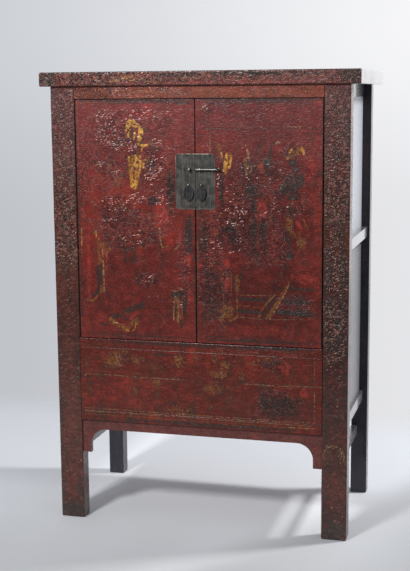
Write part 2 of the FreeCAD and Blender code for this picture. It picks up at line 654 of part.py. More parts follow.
def make_plate(side, word, meet, stile):
    """Half of the lock plate, reaching a little over the door gap, with its staple and its pull eye."""
    near = minus(meet, "plate_edge_overhang")
    far = plus(meet, "plate_half_width")
    plate = new_body(f"{word}_lock_plate")
    block(plate, (outward(side, near, far), PLATE, PLATE_HEIGHT))
    rounded(plate, "plate_corner_radius", "y", x=[f"({side} * {far})"], z=PLATE_HEIGHT)
    fittings = (
        (f"{word}_lock_staple", "staple_offset", STAPLE_LEVEL, STAPLE_RING, "staple_strip", PIN_Y),
        (f"{word}_pull_eye", "pull_offset", PULL_LEVEL, "eye_ring_radius", "eye_strip", EYE_Y),
    )
    for label, offset, level, ring, strip, ring_y in fittings:
        across = f"({side} * {offset} - meeting_offset)"
        for body, depth in ((plate, PLATE), (stile, DOOR)):
            disc(body, "y", (across, level), "(shank_radius + running_fit)", depth, cut=True)
        make_cotter(label, (across, ring_y, level), ring, strip)


def place_at(item, x, y, z):
    for axis, text in zip("xyz", (x, y, z)):
        item.setExpression(f"Placement.Base.{axis}", sized(text))


def cylinder(label, axis, start, radius, height):
    """A round bar along one axis from the point start."""
    bar = doc.addObject("Part::Cylinder", label)
    bar.setExpression("Radius", sized(radius))
    bar.setExpression("Height", sized(height))
    bar.Placement.Rotation = FreeCAD.Rotation(FreeCAD.Vector(0, 0, 1), axis)
    place_at(bar, *start)
    return bar


def make_cotter(label, centre, ring, strip):
    """A ring of folded strip whose shank runs through plate and stile and is clinched behind the door."""
    across, ring_y, level = centre
    width = f"{strip}_width"
    sideways = FreeCAD.Vector(1, 0, 0)
    near_end = (f"{across} - {width} / 2", ring_y, level)
    rim = cylinder(f"{label}_rim", sideways, near_end, f"{ring} + {strip}_thickness / 2", width)
    eye = cylinder(f"{label}_eye", sideways, near_end, f"{ring} - {strip}_thickness / 2", width)
    loop = doc.addObject("Part::Cut", f"{label}_loop")
    loop.Base = rim
    loop.Tool = eye
    back = (across, plus(ring_y, ring), level)
    backward = FreeCAD.Vector(0, 1, 0)
    shank = cylinder(f"{label}_shank", backward, back, "shank_radius", f"{DOOR_BACK} - {back[1]}")
    clinch = doc.addObject("Part::Box", f"{label}_clinch")
    clinch_sizes = (
        ("Length", "clinch_width"), ("Width", "clinch_thickness"), ("Height", "clinch_length"),
    )
    for size, text in clinch_sizes:
        clinch.setExpression(size, sized(text))
    place_at(clinch, f"{across} - clinch_width / 2", DOOR_BACK, f"{level} - clinch_length / 2")
    fused = doc.addObject("Part::MultiFuse", label)
    fused.Shapes = [loop, shank, clinch]
    fused.Label = label
    nodes.append(fused)


def make_pull(side, word):
    """An almond-shaped drop that hangs on its eye and swings about the eye's centre."""
    across = f"({side} * pull_offset - meeting_offset)"
    hole = minus(PULL_LEVEL, "eye_ring_radius")
    top = plus(hole, "pull_hole_margin")
    bottom = minus(top, "pull_length")
    centre = middle((bottom, top))
    bulge = "((pull_length * pull_length / 4 + pull_width * pull_width / 4) / pull_width)"
    depth = centred(EYE_Y, "pull_thickness")
    body = new_body(f"{word}_pull")
    sketch = sketch_on(body, "y", depth[0])
    ends = [FreeCAD.Vector(value_of(across), value_of(level), 0) for level in (bottom, top)]
    for sign in (RIGHT, LEFT):
        belly = FreeCAD.Vector(value_of(f"{across} + {sign} * pull_width / 2"), value_of(centre), 0)
        sketch.addGeometry(Part.Arc(ends[0], belly, ends[1]), False)
        ends.reverse()
    for element, other in ((0, 1), (1, 0)):
        sketch.addConstraint(Sketcher.Constraint("Coincident", element, 2, other, 1))
    pin_point(sketch, 0, 1, (across, bottom))
    pin_point(sketch, 0, 2, (across, top))
    for element in (0, 1):
        number = sketch.addConstraint(Sketcher.Constraint("Radius", element, value_of(bulge)))
        sketch.setExpression(f"Constraints[{number}]", sized(bulge))
    extrude(body, sketch, "y", depth, cut=False)
    disc(body, "y", (across, hole), "pull_hole_radius", depth, cut=True)


def make_pin():
    """The lock pin: a round bar with a turned head, drawn back from the left door's staple."""
    start = "(pin_draw - pin_left_reach - meeting_offset)"
    steps = (
        ("0", "0"), ("0", "(pin_radius - pin_chamfer)"), ("pin_chamfer", "pin_radius"),
        ("pin_bar_length", "pin_radius"), ("pin_bar_length", "pin_collar_radius"),
    )
    points = [(plus(start, along), plus(STAPLE_LEVEL, out)) for along, out in steps]
    along = f"({start} + pin_bar_length)"
    turned = (
        ("pin_collar_width", "pin_collar_radius"),
        ("0", "pin_neck_radius"), ("pin_neck_length", "pin_neck_radius"),
        ("pin_bead_length / 2", "pin_bead_radius"), ("pin_bead_length / 2", "pin_neck_radius"),
        ("pin_tip_length / 2", "pin_tip_radius"), ("pin_tip_length / 2", "0"),
    )
    for step, out in turned:
        along = plus(along, step)
        points.append((along, plus(STAPLE_LEVEL, out)))
    body = new_body("lock_pin")
    sketch = sketch_on(body, "y", PIN_Y)
    corners = [FreeCAD.Vector(value_of(first), value_of(second), 0) for first, second in points]
    for index, corner in enumerate(corners):
        sketch.addGeometry(Part.LineSegment(corner, corners[(index + 1) % len(corners)]), False)
    for index, point in enumerate(points):
        sketch.addConstraint(Sketcher.Constraint("Coincident", index, 2, (index + 1) % len(points), 1))
        pin_point(sketch, index, 1, point)
    turned_bar = body.newObject("PartDesign::Revolution", "Turned")
    turned_bar.Profile = sketch
    turned_bar.ReferenceAxis = (sketch, [f"Edge{len(points)}"])
    doc.recompute()


def make_cabinet():
    mortises = {(place, side): [] for place in ("front", "rear") for side, _ in SIDES}
    grooves = {(place, side): [] for place in ("front", "rear") for side, _ in SIDES}
    make_top()
    make_front(mortises)
    make_sides(mortises, grooves)
    make_rear(mortises, grooves)
    make_inside(mortises)
    board_slot = ("front_bottom_rail_level", SILL_UNDER)
    for side, word in SIDES:
        slot = outward(side, FRONT_IN, plus(FRONT_IN, "groove_depth"))
        grooves["front", side].append((slot, FRONT_TONGUE, board_slot))
        make_door(side, word)
        make_pull(side, word)
    make_pin()
    make_posts(mortises, grooves)


def check_and_export():
    doc.recompute()
    for item in doc.Objects:
        if "Invalid" in item.State or "Error" in item.State:
            raise ValueError(f"{item.Label} failed: {item.State}")
    for node in nodes:
        if node.Shape.isNull() or not node.Shape.isValid() or not node.Shape.Solids:
            raise ValueError(f"{node.Label} has no valid solid")
    os.makedirs("parts", exist_ok=True)
    for node in nodes:
        node.Shape.exportStep(f"parts/{node.Label}.step")
        print(node.Label, len(node.Shape.Solids), round(node.Shape.Volume))


make_cabinet()
check_and_export()
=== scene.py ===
import math

import bpy
import numpy as np
from mathutils import Matrix, Vector


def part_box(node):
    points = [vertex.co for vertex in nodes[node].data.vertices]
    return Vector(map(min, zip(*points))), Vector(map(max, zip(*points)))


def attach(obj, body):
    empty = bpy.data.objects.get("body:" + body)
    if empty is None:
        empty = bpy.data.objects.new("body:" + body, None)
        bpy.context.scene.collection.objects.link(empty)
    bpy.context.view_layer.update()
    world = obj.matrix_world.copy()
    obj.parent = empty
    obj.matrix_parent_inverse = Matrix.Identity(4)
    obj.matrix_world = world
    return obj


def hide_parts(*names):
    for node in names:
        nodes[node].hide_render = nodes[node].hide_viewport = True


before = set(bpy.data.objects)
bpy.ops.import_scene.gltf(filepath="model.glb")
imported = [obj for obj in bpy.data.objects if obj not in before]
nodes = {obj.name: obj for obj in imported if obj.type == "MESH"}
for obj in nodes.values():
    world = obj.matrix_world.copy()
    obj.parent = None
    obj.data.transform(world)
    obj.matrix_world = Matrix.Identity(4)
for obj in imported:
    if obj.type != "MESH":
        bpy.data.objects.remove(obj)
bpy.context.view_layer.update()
mm = 0.001

# Sizes that pieces share, in millimetres: grids, relief, the y of each front that carries flakes, front and back of
# the skins on doors and boards, heights of the door faces, half the width between the posts, and the height under the
# top
GRID_STEP = 2.25
FIELD_STEP = 9.0
WRINKLE_HEIGHT = 1.6
POST_FRONT, TOP_FRONT, DOOR_FRONT = -296.0, -309.1, -294.6
DOOR_SKIN = (-294.9, -292.6)
BOARD_SKIN = (-296.5, -292.0)
DOOR_LOW, DOOR_HIGH = 721.0, 1613.0
HALF_BAY = 465.9
UNDER_TOP = 1664.0
PLATE_FRONT, PLATE_BACK = -294.5, -293.8
FLOOR_REACH = 14.0  # metres


# Fields worked out on arrays of places

def blend_curve(t):
    """Three times t squared less twice t cubed, with t held between 0 and 1."""
    t = np.clip(t, 0.0, 1.0)
    return t * t * (3.0 - 2.0 * t)


def ramp(value, low, high):
    """0 below low, 1 above high, and the blend curve between them."""
    return blend_curve((value - low) / (high - low))


def lattice(column, row, seed):
    """A fixed number from 0 to 1 for each whole-number place, from an integer hash."""
    mixed = (column.astype(np.int64) * 374761393 + row.astype(np.int64) * 668265263 + seed * 974711) & 0xFFFFFFFF
    mixed = ((mixed ^ (mixed >> 13)) * 1274126177) & 0xFFFFFFFF
    return (mixed ^ (mixed >> 16)) / 4294967296.0


def swell(x, y, seed):
    """Gradient noise, about -1 to 1: at each corner of the unit square a slope in a hashed direction, blended
    across the square by the blend curve."""
    left, low = np.floor(x), np.floor(y)
    total = np.zeros(np.broadcast(x, y).shape)
    for right in (0, 1):
        for high in (0, 1):
            turn = lattice(left + right, low + high, seed) * 2.0 * math.pi
            along, up = x - left - right, y - low - high
            weight = blend_curve(1.0 - np.abs(along)) * blend_curve(1.0 - np.abs(up))
            total += (np.cos(turn) * along + np.sin(turn) * up) * weight
    return total * 1.7


def layered(x, y, seed, layers=3):
    """Gradient noise added to itself at twice the rate and half the height, layer by layer."""
    total, height = np.zeros(np.broadcast(x, y).shape), 1.0
    for layer in range(layers):
        total += height * swell(x * 2.0 ** layer, y * 2.0 ** layer, seed + 17 * layer)
        height *= 0.5
    return total / (2.0 - 2.0 * height)


def wrinkles(across, up, seed, size=9.0):
    """Height from 0 to 1 of lifted lacquer: a ridge is e to the minus square of some warped noise, so it follows the
    noise's zero line. A slant that wanders draws the ridges out, a slower noise breaks them, and finer ones lie
    between them."""
    slant = 0.9 * swell(across / (size * 9.0), up / (size * 9.0), seed + 1)
    warp = 0.5 * swell(across / (size * 2.2), up / (size * 2.2), seed + 3)
    lift = 0.5 * swell(across / (size * 2.0) + 40.0, up / (size * 2.0), seed + 4)
    x, y = across / (size * 1.9) + warp, (up + slant * across * 0.25) / size + lift
    ridge = np.exp(-(3.2 * layered(x, y, seed, 2)) ** 2)
    fine = np.exp(-(4.4 * swell(x * 2.0 + 9.0, y * 1.7, seed + 9)) ** 2)
    whole = ramp(layered(x * 0.9 + 5.0, y * 0.9, seed + 30, 2), -0.45, 0.35)
    return np.clip(ridge * (0.35 + 0.65 * whole) * 0.85 + 0.3 * fine * (1.0 - ridge) + 0.15 * whole, 0.0, 1.15)


def patches(x, z, spots, seed, floor=0.0):
    """The strongest of several soft ellipses (middle x, middle z, half width, half height, strength), their
    borders broken by noise."""
    total = np.full(np.broadcast(x, z).shape, float(floor))
    ragged = 0.45 * layered(x / 45.0, z / 38.0, seed, 3)
    for middle_x, middle_z, wide, high, strength in spots:
        reach = np.hypot((x - middle_x) / wide, (z - middle_z) / high)
        total = np.maximum(total, strength * ramp(1.25 - reach + ragged, 0.0, 0.8))
    return total


# Brush work: every mark is a number from 0 to 1 at each place

def table(text):
    """The rows of a text table, split at its semicolons, with the words as words and the rest as numbers."""
    return [[part if part.isalpha() else float(part) for part in row.split()] for row in text.split(";")]


def pairs(flat):
    """Points from a row of x and z in turn."""
    return list(zip(flat[::2], flat[1::2]))


def line_depth(x, z, points, width):
    """1 on a run of straight brush lines and 0 outside them, by the least distance to any run over the width."""
    near = np.full(x.shape, 1e9)
    for (x0, z0), (x1, z1) in zip(points, points[1:]):
        run_x, run_z = x1 - x0, z1 - z0
        share = np.clip(((x - x0) * run_x + (z - z0) * run_z) / (run_x ** 2 + run_z ** 2 + 1e-9), 0.0, 1.0)
        near = np.minimum(near, np.hypot(x - x0 - share * run_x, z - z0 - share * run_z))
    return ramp(width * 0.5 + 1.1 - near, 0.0, 2.2)


def inside(x, z, corners):
    """1 inside a closed outline and 0 outside: the count of sides that a line to the right crosses is odd."""
    odd = np.zeros(x.shape, bool)
    for (x0, z0), (x1, z1) in zip(corners, corners[1:] + corners[:1]):
        if z0 != z1:
            crosses = (z0 > z) != (z1 > z)
            odd ^= crosses & (x < (x1 - x0) * (z - z0) / (z1 - z0) + x0)
    return odd.astype(float)


def curl(middle_x, middle_z, radius, start, sweep, shrink=1.0, count=12):
    """Points of an arc or spiral: the angle grows evenly and the radius goes to shrink times itself."""
    turn = np.radians(start + sweep * np.linspace(0.0, 1.0, count))
    reach = radius * np.linspace(1.0, shrink, count)
    return list(zip(middle_x + reach * np.cos(turn), middle_z + reach * np.sin(turn)))


class Brush:
    """Collects the marks of one painted face."""

    def __init__(self, x, z):
        self.x, self.z = x, z
        self.marks = {name: np.zeros(x.shape) for name in ("gilt", "ink", "fire", "tan", "ochre")}

    def near(self, x0, z0, x1, z1):
        """Places inside a box, so that a small motif isn't worked out over the whole face."""
        return (self.x > x0) & (self.x < x1) & (self.z > z0) & (self.z < z1)

    def lay(self, paint, spot, amount):
        """Puts one paint over the others where its mark is strong."""
        for name, mark in self.marks.items():
            if name == paint:
                mark[spot] = np.maximum(mark[spot], amount)
            else:
                mark[spot] *= 1.0 - 0.85 * amount

    def line(self, paint, points, width, strength=1.0):
        """A brush line through the points."""
        xs, zs = [p[0] for p in points], [p[1] for p in points]
        spot = self.near(min(xs) - width, min(zs) - width, max(xs) + width, max(zs) + width)
        self.lay(paint, spot, strength * line_depth(self.x[spot], self.z[spot], points, width))

    def fill(self, paint, points, strength=1.0):
        """The area inside the points."""
        xs, zs = [p[0] for p in points], [p[1] for p in points]
        spot = self.near(min(xs), min(zs), max(xs), max(zs))
        self.lay(paint, spot, strength * inside(self.x[spot], self.z[spot], points))

    def blots(self, paint, rows, seed, grain=(16.0, 16.0), ragged=0.5, fleck=0.35):
        """Soft ellipses with torn borders and flecks of the ground showing through, from a table of middle x,
        middle z, half width, half height, strength and, where it leans, degrees."""
        for number, (x, z, wide, high, strength, *lean) in enumerate(table(rows)):
            reach = 2.0 * max(wide, high)
            spot = self.near(x - reach, z - reach, x + reach, z + reach)
            if not spot.any():
                continue
            turn = math.radians(lean[0] if lean else 0.0)
            a, b = self.x[spot] - x, self.z[spot] - z
            along, over = a * math.cos(turn) + b * math.sin(turn), b * math.cos(turn) - a * math.sin(turn)
            torn = layered(self.x[spot] / grain[0], self.z[spot] / grain[1], seed + number, 3)
            hole = layered(self.x[spot] / (grain[0] * 0.45), self.z[spot] / (grain[1] * 0.45), seed + 50 + number, 2)
            cover = ramp(1.2 - np.hypot(along / wide, over / high) + ragged * torn, 0.0, 0.7)
            self.lay(paint, spot, np.clip(strength * cover * (1.0 + fleck * (hole - 0.35)), 0.0, 1.0))

    def strokes(self, rows):
        """Brush lines, from a table of paint, width, strength and then the x and z of each point."""
        for paint, width, strength, *flat in table(rows):
            self.line(paint, pairs(flat), width, strength)

    def leafy_spray(self, x, z, tall, paint, flower, turn=1.0, strength=1.0):
        """A bent stem with pairs of leaves and a round flower of five petals at the end."""
        stem = [(x + turn * tall * 0.22 * math.sin(2.6 * t), z + tall * t) for t in np.linspace(0.0, 1.0, 9)]
        self.line(paint, stem, tall * 0.03, strength)
        for number, (leaf_x, leaf_z) in enumerate(stem[1:8]):
            side = -1.0 if number % 2 else 1.0
            self.line(paint, [(leaf_x, leaf_z), (leaf_x + side * tall * 0.13, leaf_z + tall * 0.07)],
                      tall * 0.06, strength)
        end_x, end_z = stem[-1]
        for petal in range(5):
            turn_to = 2.0 * math.pi * petal / 5.0
            self.fill(flower, curl(end_x + tall * 0.07 * math.cos(turn_to), end_z + tall * 0.07 * math.sin(turn_to),
                                   tall * 0.055, 0, 360), strength)

    def worn(self, seed, keep):
        """The marks with the paint rubbed away in patches and flecks."""
        patch = layered(self.x / 30.0, self.z / 42.0, seed, 3)
        fleck = layered(self.x / 7.5, self.z / 7.0, seed + 8, 3)
        left = ramp(patch * 0.6 + fleck * 0.8 + keep, 0.0, 0.7)
        gone = ramp(layered(self.x / 9.0, self.z / 12.0, seed + 20, 3), -0.5, 0.05)
        faded = ramp(layered(self.x / 8.0, self.z / 10.0, seed + 25, 3), -0.45, 0.15)
        for name, mark in self.marks.items():
            if name != "ink":
                mark *= left * {"gilt": gone, "tan": 0.3 + 0.7 * faded, "ochre": 0.5 + 0.5 * faded}.get(name, 1.0)
        return self.marks


# Meshes

def build_mesh(name, points, quads, fans, marks):
    """Puts whole arrays into a mesh and turns its faces outwards by the sign of the volume they enclose."""
    a, b, c, d = (points[quads[:, k]] for k in range(4))
    volume = np.einsum("ij,ij->", a, np.cross(b, c)) + np.einsum("ij,ij->", a, np.cross(c, d))
    if len(fans):
        e, f, g = (points[fans[:, k]] for k in range(3))
        volume += np.einsum("ij,ij->", e, np.cross(f, g))
    if volume < 0:
        quads, fans = quads[:, ::-1], fans[:, ::-1]
    corners = np.concatenate([quads.ravel(), fans.ravel()]).astype(np.int32)
    starts = np.concatenate([np.arange(len(quads)) * 4, len(quads) * 4 + np.arange(len(fans)) * 3])
    mesh = bpy.data.meshes.new(name)
    mesh.vertices.add(len(points))
    mesh.vertices.foreach_set("co", np.asarray(points, np.float32).ravel() * mm)
    mesh.loops.add(len(corners))
    mesh.loops.foreach_set("vertex_index", corners)
    mesh.polygons.add(len(starts))
    mesh.polygons.foreach_set("loop_start", starts.astype(np.int32))
    mesh.update(calc_edges=True)
    mesh.validate()
    mesh.polygons.foreach_set("use_smooth", np.ones(len(mesh.polygons), bool))
    for mark, values in marks.items():
        layer = mesh.attributes.new(mark, "FLOAT", "POINT")
        layer.data.foreach_set("value", np.asarray(values, np.float32).ravel())
    thing = bpy.data.objects.new(name, mesh)
    bpy.context.scene.collection.objects.link(thing)
    return thing


def dress(thing, body, slot, material, *stands_for):
    """Gives a new piece its body, material and the CAD nodes that it stands for. The slot is not used."""
    thing.data.materials.append(material)
    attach(thing, body)
    if stands_for:
        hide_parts(*stands_for)


def tube_faces(rings, around):
    """Quads between neighbouring rings of a closed outline, and a fan on each end's middle point."""
    ring, place = np.meshgrid(np.arange(rings - 1), np.arange(around), indexing="ij")
    after = (place + 1) % around
    quads = np.stack([ring * around + place, ring * around + after,
                      (ring + 1) * around + after, (ring + 1) * around + place], -1).reshape(-1, 4)
    last = (rings - 1) * around
    one = np.arange(around)
    two = (one + 1) % around
    low = np.stack([two, one, np.full(around, rings * around)], -1)
    high = np.stack([last + one, last + two, np.full(around, rings * around + 1)], -1)
    return quads, np.concatenate([low, high])


def closed_tube(name, places, marks):
    """A mesh of rings of places, one row each, with the middle point of the first and last ring closing its end."""
    quads, fans = tube_faces(*places.shape[:2])
    points = np.concatenate([places.reshape(-1, 3), places[:1].mean(1), places[-1:].mean(1)])
    full = {label: np.concatenate([v.ravel(), v[:1].mean(1), v[-1:].mean(1)]) for label, v in marks.items()}
    return build_mesh(name, points, quads, fans, full)


def round_outline(width, depth, radius, parts):
    """A rectangle with quarter circles at its corners. Side 0 lies on b = 0 and runs to +a, and the others follow
    round. Gives the points, outward normals, side numbers (halves on corners) and the distance round."""
    place, facing, side = [], [], []
    ends = [((radius, 0), (width - radius, 0)), ((width, radius), (width, depth - radius)),
            ((width - radius, depth), (radius, depth)), ((0, depth - radius), (0, radius))]
    middles = [(width - radius, radius), (width - radius, depth - radius), (radius, depth - radius), (radius, radius)]
    for number, ((a0, b0), (a1, b1)) in enumerate(ends):
        share = np.linspace(0.0, 1.0, parts[number] + 1)
        place.append(np.stack([a0 + (a1 - a0) * share, b0 + (b1 - b0) * share], -1))
        turn = math.radians(-90 + 90 * number)
        facing.append(np.tile([math.cos(turn), math.sin(turn)], (len(share), 1)))
        side.append(np.full(len(share), float(number)))
        bend = turn + np.radians(90.0) * np.array([0.25, 0.5, 0.75])
        place.append(np.stack([middles[number][0] + radius * np.cos(bend),
                               middles[number][1] + radius * np.sin(bend)], -1))
        facing.append(np.stack([np.cos(bend), np.sin(bend)], -1))
        side.append(np.full(3, number + 0.5))
    place, facing, side = (np.concatenate(x) for x in (place, facing, side))
    step = np.hypot(*(np.roll(place, -1, 0) - place).T)
    return place, facing, side, np.concatenate([[0.0], np.cumsum(step)[:-1]])


X, Y, Z = np.eye(3)


def lacquered_bar(name, run, box, radius, surface, fine=(True, False, False, False), end_round=2.0, mitre=0.0):
    """A bar with a round-cornered rectangle for its section, carried along X or Z, with quarter circles at its ends.
    Its front side and the other fine sides have a close grid, which surface(places, round, side) lifts along the
    normals, and the lift dies away at the ends as one less e to the minus distance over 1.5 mm. A mitre takes each
    end in by its distance behind the front."""
    low, high = np.array(box[0], float), np.array(box[1], float)
    across = X if run is Z else Z
    width, depth, length = (abs((high - low) @ way) for way in (across, Y, run))
    parts = [max(1, int(round((width, depth)[k % 2] / (GRID_STEP if fine[k] else FIELD_STEP)))) for k in range(4)]
    place, facing, side, round_way = round_outline(width, depth, radius, parts)
    turn = np.radians([67.5, 45.0, 22.5, 0.0])
    lead, draw_in = end_round * (1.0 - np.sin(turn)), end_round * (1.0 - np.cos(turn))
    middle = np.linspace(end_round, length - end_round, max(2, int(round(length / GRID_STEP))))[1:-1]
    stations = np.concatenate([lead, middle, length - lead[::-1]])
    inset = np.concatenate([draw_in, np.zeros(len(middle)), draw_in[::-1]])
    flat = place[None] - facing[None] * inset[:, None, None]
    a, b = flat[..., 0], flat[..., 1]
    cut = mitre * b
    t = np.abs(cut) + (stations / length)[:, None] * (length - 2.0 * np.abs(cut))
    places = (low @ across + a)[..., None] * across + (low @ run + t)[..., None] * run + (low[1] + b)[..., None] * Y
    normals = np.broadcast_to((facing[:, :1] * across + facing[:, 1:] * Y)[None], places.shape)
    lift, marks = surface(places, np.broadcast_to(round_way, a.shape), np.broadcast_to(side, a.shape))
    fade = 1.0 - np.exp(-np.minimum(stations, length - stations) / 1.5)
    return closed_tube(name, places + normals * (lift * fade[:, None])[..., None], marks)


def side_weight(side, weights):
    """The lift that each side takes, halved on the corners between two sides."""
    low = np.floor(side).astype(int) % 4
    return np.where(side == low, np.take(weights, low), 0.5 * (np.take(weights, low) + np.take(weights, (low + 1) % 4)))


def edge_wear(round_way, side, along, seed):
    """1 on worn corners, with the wear coming and going along the piece."""
    corner = (side != np.floor(side)).astype(float)
    return corner * ramp(layered(along / 60.0, round_way / 30.0, seed, 3), -0.5, 0.5)


def lifted_flakes(name, region, plane_y, spots, seed, painter, cell=7.0, base=0.0, share=0.75, long=9.0, wide=3.4,
                  lean=28.0, high=1.9, bare=()):
    """Leaf-shaped shells of lacquer that stand off along their lower edges. Each square of a jittered grid holds one
    where a chance is below the patches' strength. Length, width, lean and tilt differ by chance, and the tilt grows
    towards the floor: 18 degrees at 1.5 m and 11 more for each metre down."""
    x0, x1, z0, z1 = region
    column, row = (part.ravel() for part in np.meshgrid(np.arange(int((x1 - x0) / cell)),
                                                        np.arange(int((z1 - z0) / cell)), indexing="ij"))
    chance = [lattice(column, row, seed + 31 * k) for k in range(8)]
    x, z = x0 + (column + 0.05 + 0.9 * chance[0]) * cell, z0 + (row + 0.05 + 0.9 * chance[1]) * cell
    kept = chance[2] < share * patches(x, z, spots, seed, base)
    for a0, b0, a1, b1 in bare:
        kept &= ~((x > a0) & (x < a1) & (z > b0) & (z < b1))
    x, z, chance = x[kept], z[kept], [part[kept] for part in chance]
    half_long, half_wide = 0.5 * long * (0.45 + 1.1 * chance[3]), 0.5 * wide * (0.6 + 0.8 * chance[4])
    turn = np.radians(lean + 40.0 * swell(x / 50.0, z / 50.0, seed + 9) + 30.0 * (chance[5] - 0.5))
    up_slope = np.tan(np.radians(18.0 + 0.011 * (1500.0 - z) + 15.0 * (chance[6] - 0.5)))
    side_slope = np.tan(np.radians(16.0 * (chance[7] - 0.5)))
    u = np.array([-1.0, -0.62, 0.0, 0.62, 1.0])[:, None]
    breadth = np.array([0.12, 0.8, 1.0, 0.8, 0.12])[:, None]
    v = np.array([-1.6, -1.0, -0.4, 0.3, 1.0, 0.2])[None]
    along = half_long[:, None, None] * u
    over = half_wide[:, None, None] * (v * breadth)
    cos, sin = np.cos(turn)[:, None, None], np.sin(turn)[:, None, None]
    right, up = along * cos - over * sin, along * sin + over * cos
    stand = up_slope[:, None, None] * (half_wide[:, None, None] * 0.9 - up) - side_slope[:, None, None] * right
    stand = np.clip(stand + 0.12 * (1.0 - v ** 2), -0.3, high)
    stand[..., 0], stand[..., 5] = -0.35, -0.8
    places = np.stack([x[:, None, None] + right, plane_y - stand, z[:, None, None] + up], -1)
    ends = places[:, [0, -1]].mean(2)
    rings, around = len(u), v.size
    places = np.concatenate([places.reshape(len(x), -1, 3), ends], 1)
    marks = painter(places[..., 0], places[..., 2])
    # Black on each flake's lower lip and back: the hole where lacquer broke away, and painted shadow under the lifted
    # edge.
    for point in (0, around - 1):
        marks["ink"][:, point:rings * around:around] = 1.0
    quads, fans = tube_faces(rings, around)
    shift = places.shape[1] * np.arange(len(x))[:, None, None]
    quads, fans = (quads + shift).reshape(-1, 4), (fans + shift).reshape(-1, 3)
    flakes = build_mesh(name, places.reshape(-1, 3), quads, fans, marks)
    flakes.data.polygons.foreach_set("use_smooth", np.zeros(len(flakes.data.polygons), bool))
    return flakes


def rimmed_plate(name, outer, split, z0, z1, corner, seed):
    """Half a lock plate, row by row: each row starts at the outer edge, set in by a quarter circle near both ends,
    and runs to the split. A bell-shaped roll stands 0.5 mm forwards along the edge, and slow dents cross the middle."""
    close = np.array([0.0, 0.3, 1.0, 2.2, 3.6, 5.4, 8.0, 11.0])
    z = np.concatenate([z0 + close, np.linspace(z0 + 14.0, z1 - 14.0, 60), z1 - close[::-1]])
    from_end = np.minimum(z - z0, z1 - z)
    reach = np.clip(corner - from_end, 0.0, corner)
    inset = corner - np.sqrt(corner ** 2 - reach ** 2)
    way = 1.0 if split > outer else -1.0
    share = np.concatenate([np.array([0.0, 0.5, 1.1, 1.8, 2.6, 3.6, 5.0]) / 75.0, np.linspace(0.1, 1.0, 26)])
    x = (outer + way * inset)[:, None] + (split - outer - way * inset)[:, None] * share
    level = np.broadcast_to(z[:, None], x.shape)
    edge = np.minimum(np.abs(x - outer) - inset[:, None], from_end[:, None])
    rise = 0.5 * ramp(edge, 0.0, 1.2) + 0.5 * np.exp(-((edge - 2.0) / 1.3) ** 2)
    front = PLATE_FRONT - rise - 0.18 * layered(x / 26.0, level / 34.0, seed, 3)
    back = np.stack([x, np.full(x.shape, PLATE_BACK), level], -1)[:, ::-11]
    places = np.concatenate([np.stack([x, front, level], -1), back], 1)
    return closed_tube(name, places, {"edge": np.concatenate([edge, np.zeros(back.shape[:2])], 1)})


# Faces of the cabinet

def box_mm(name):
    """The low and high corner of a node, in millimetres."""
    low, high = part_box(name)
    return [1000.0 * v for v in low], [1000.0 * v for v in high]


def aged_face(seed, spots, base, weights, size, painter, seams=(), hollow=0.5, wide="x", swell_height=0.25, curls=(),
              flat=(), dim=()):
    """The surface of a lacquered piece: wrinkles where the crazed patches are, curled ridges, a slow swell, grooves
    at the seams, and the painter's marks. The lift is each side's weight times the crazing times the wrinkles, plus
    the swell, less the hollow that the ground lies below the full height. Boxes in flat stay smooth."""
    def surface(places, round_way, side):
        x, z = places[..., 0], places[..., 2]
        across = x if wide != "round" else round_way
        upward = round_way if wide == "along_x" else z
        craze = patches(x, z, spots, seed, base)
        relief = wrinkles(across, upward, seed, size)
        for line in curls:
            ring = line_depth(x, z, line, 2.0)
            relief, craze = np.maximum(relief * (1.0 - 0.5 * ring), ring), np.maximum(craze, ring)
        for x0, z0, x1, z1 in flat:
            covered = ramp(x, x0 - 6, x0) * ramp(-x, -x1 - 6, -x1) * ramp(z, z0 - 6, z0) * ramp(-z, -z1 - 6, -z1)
            craze = craze * (1.0 - covered)
        weight = side_weight(side, weights)
        slow = layered(across / 160.0, upward / 160.0, seed + 2, 2)
        groove = np.zeros(x.shape)
        for line in seams:
            groove = np.maximum(groove, line_depth(x, z, line, 1.4))
        wear = edge_wear(round_way, side, upward if wide != "along_x" else x, seed + 6)
        lift = weight * (craze * WRINKLE_HEIGHT * relief + swell_height * slow - hollow - 0.35 * groove) - 0.5 * wear
        # The dim mark is darkened patches: partly darker lacquer, partly painted shade.
        return lift, {"craze": craze, "relief": relief, "seam": groove, "wear": wear,
                      "dim": patches(x, z, dim, seed + 40), **painter(x, z)}
    return surface


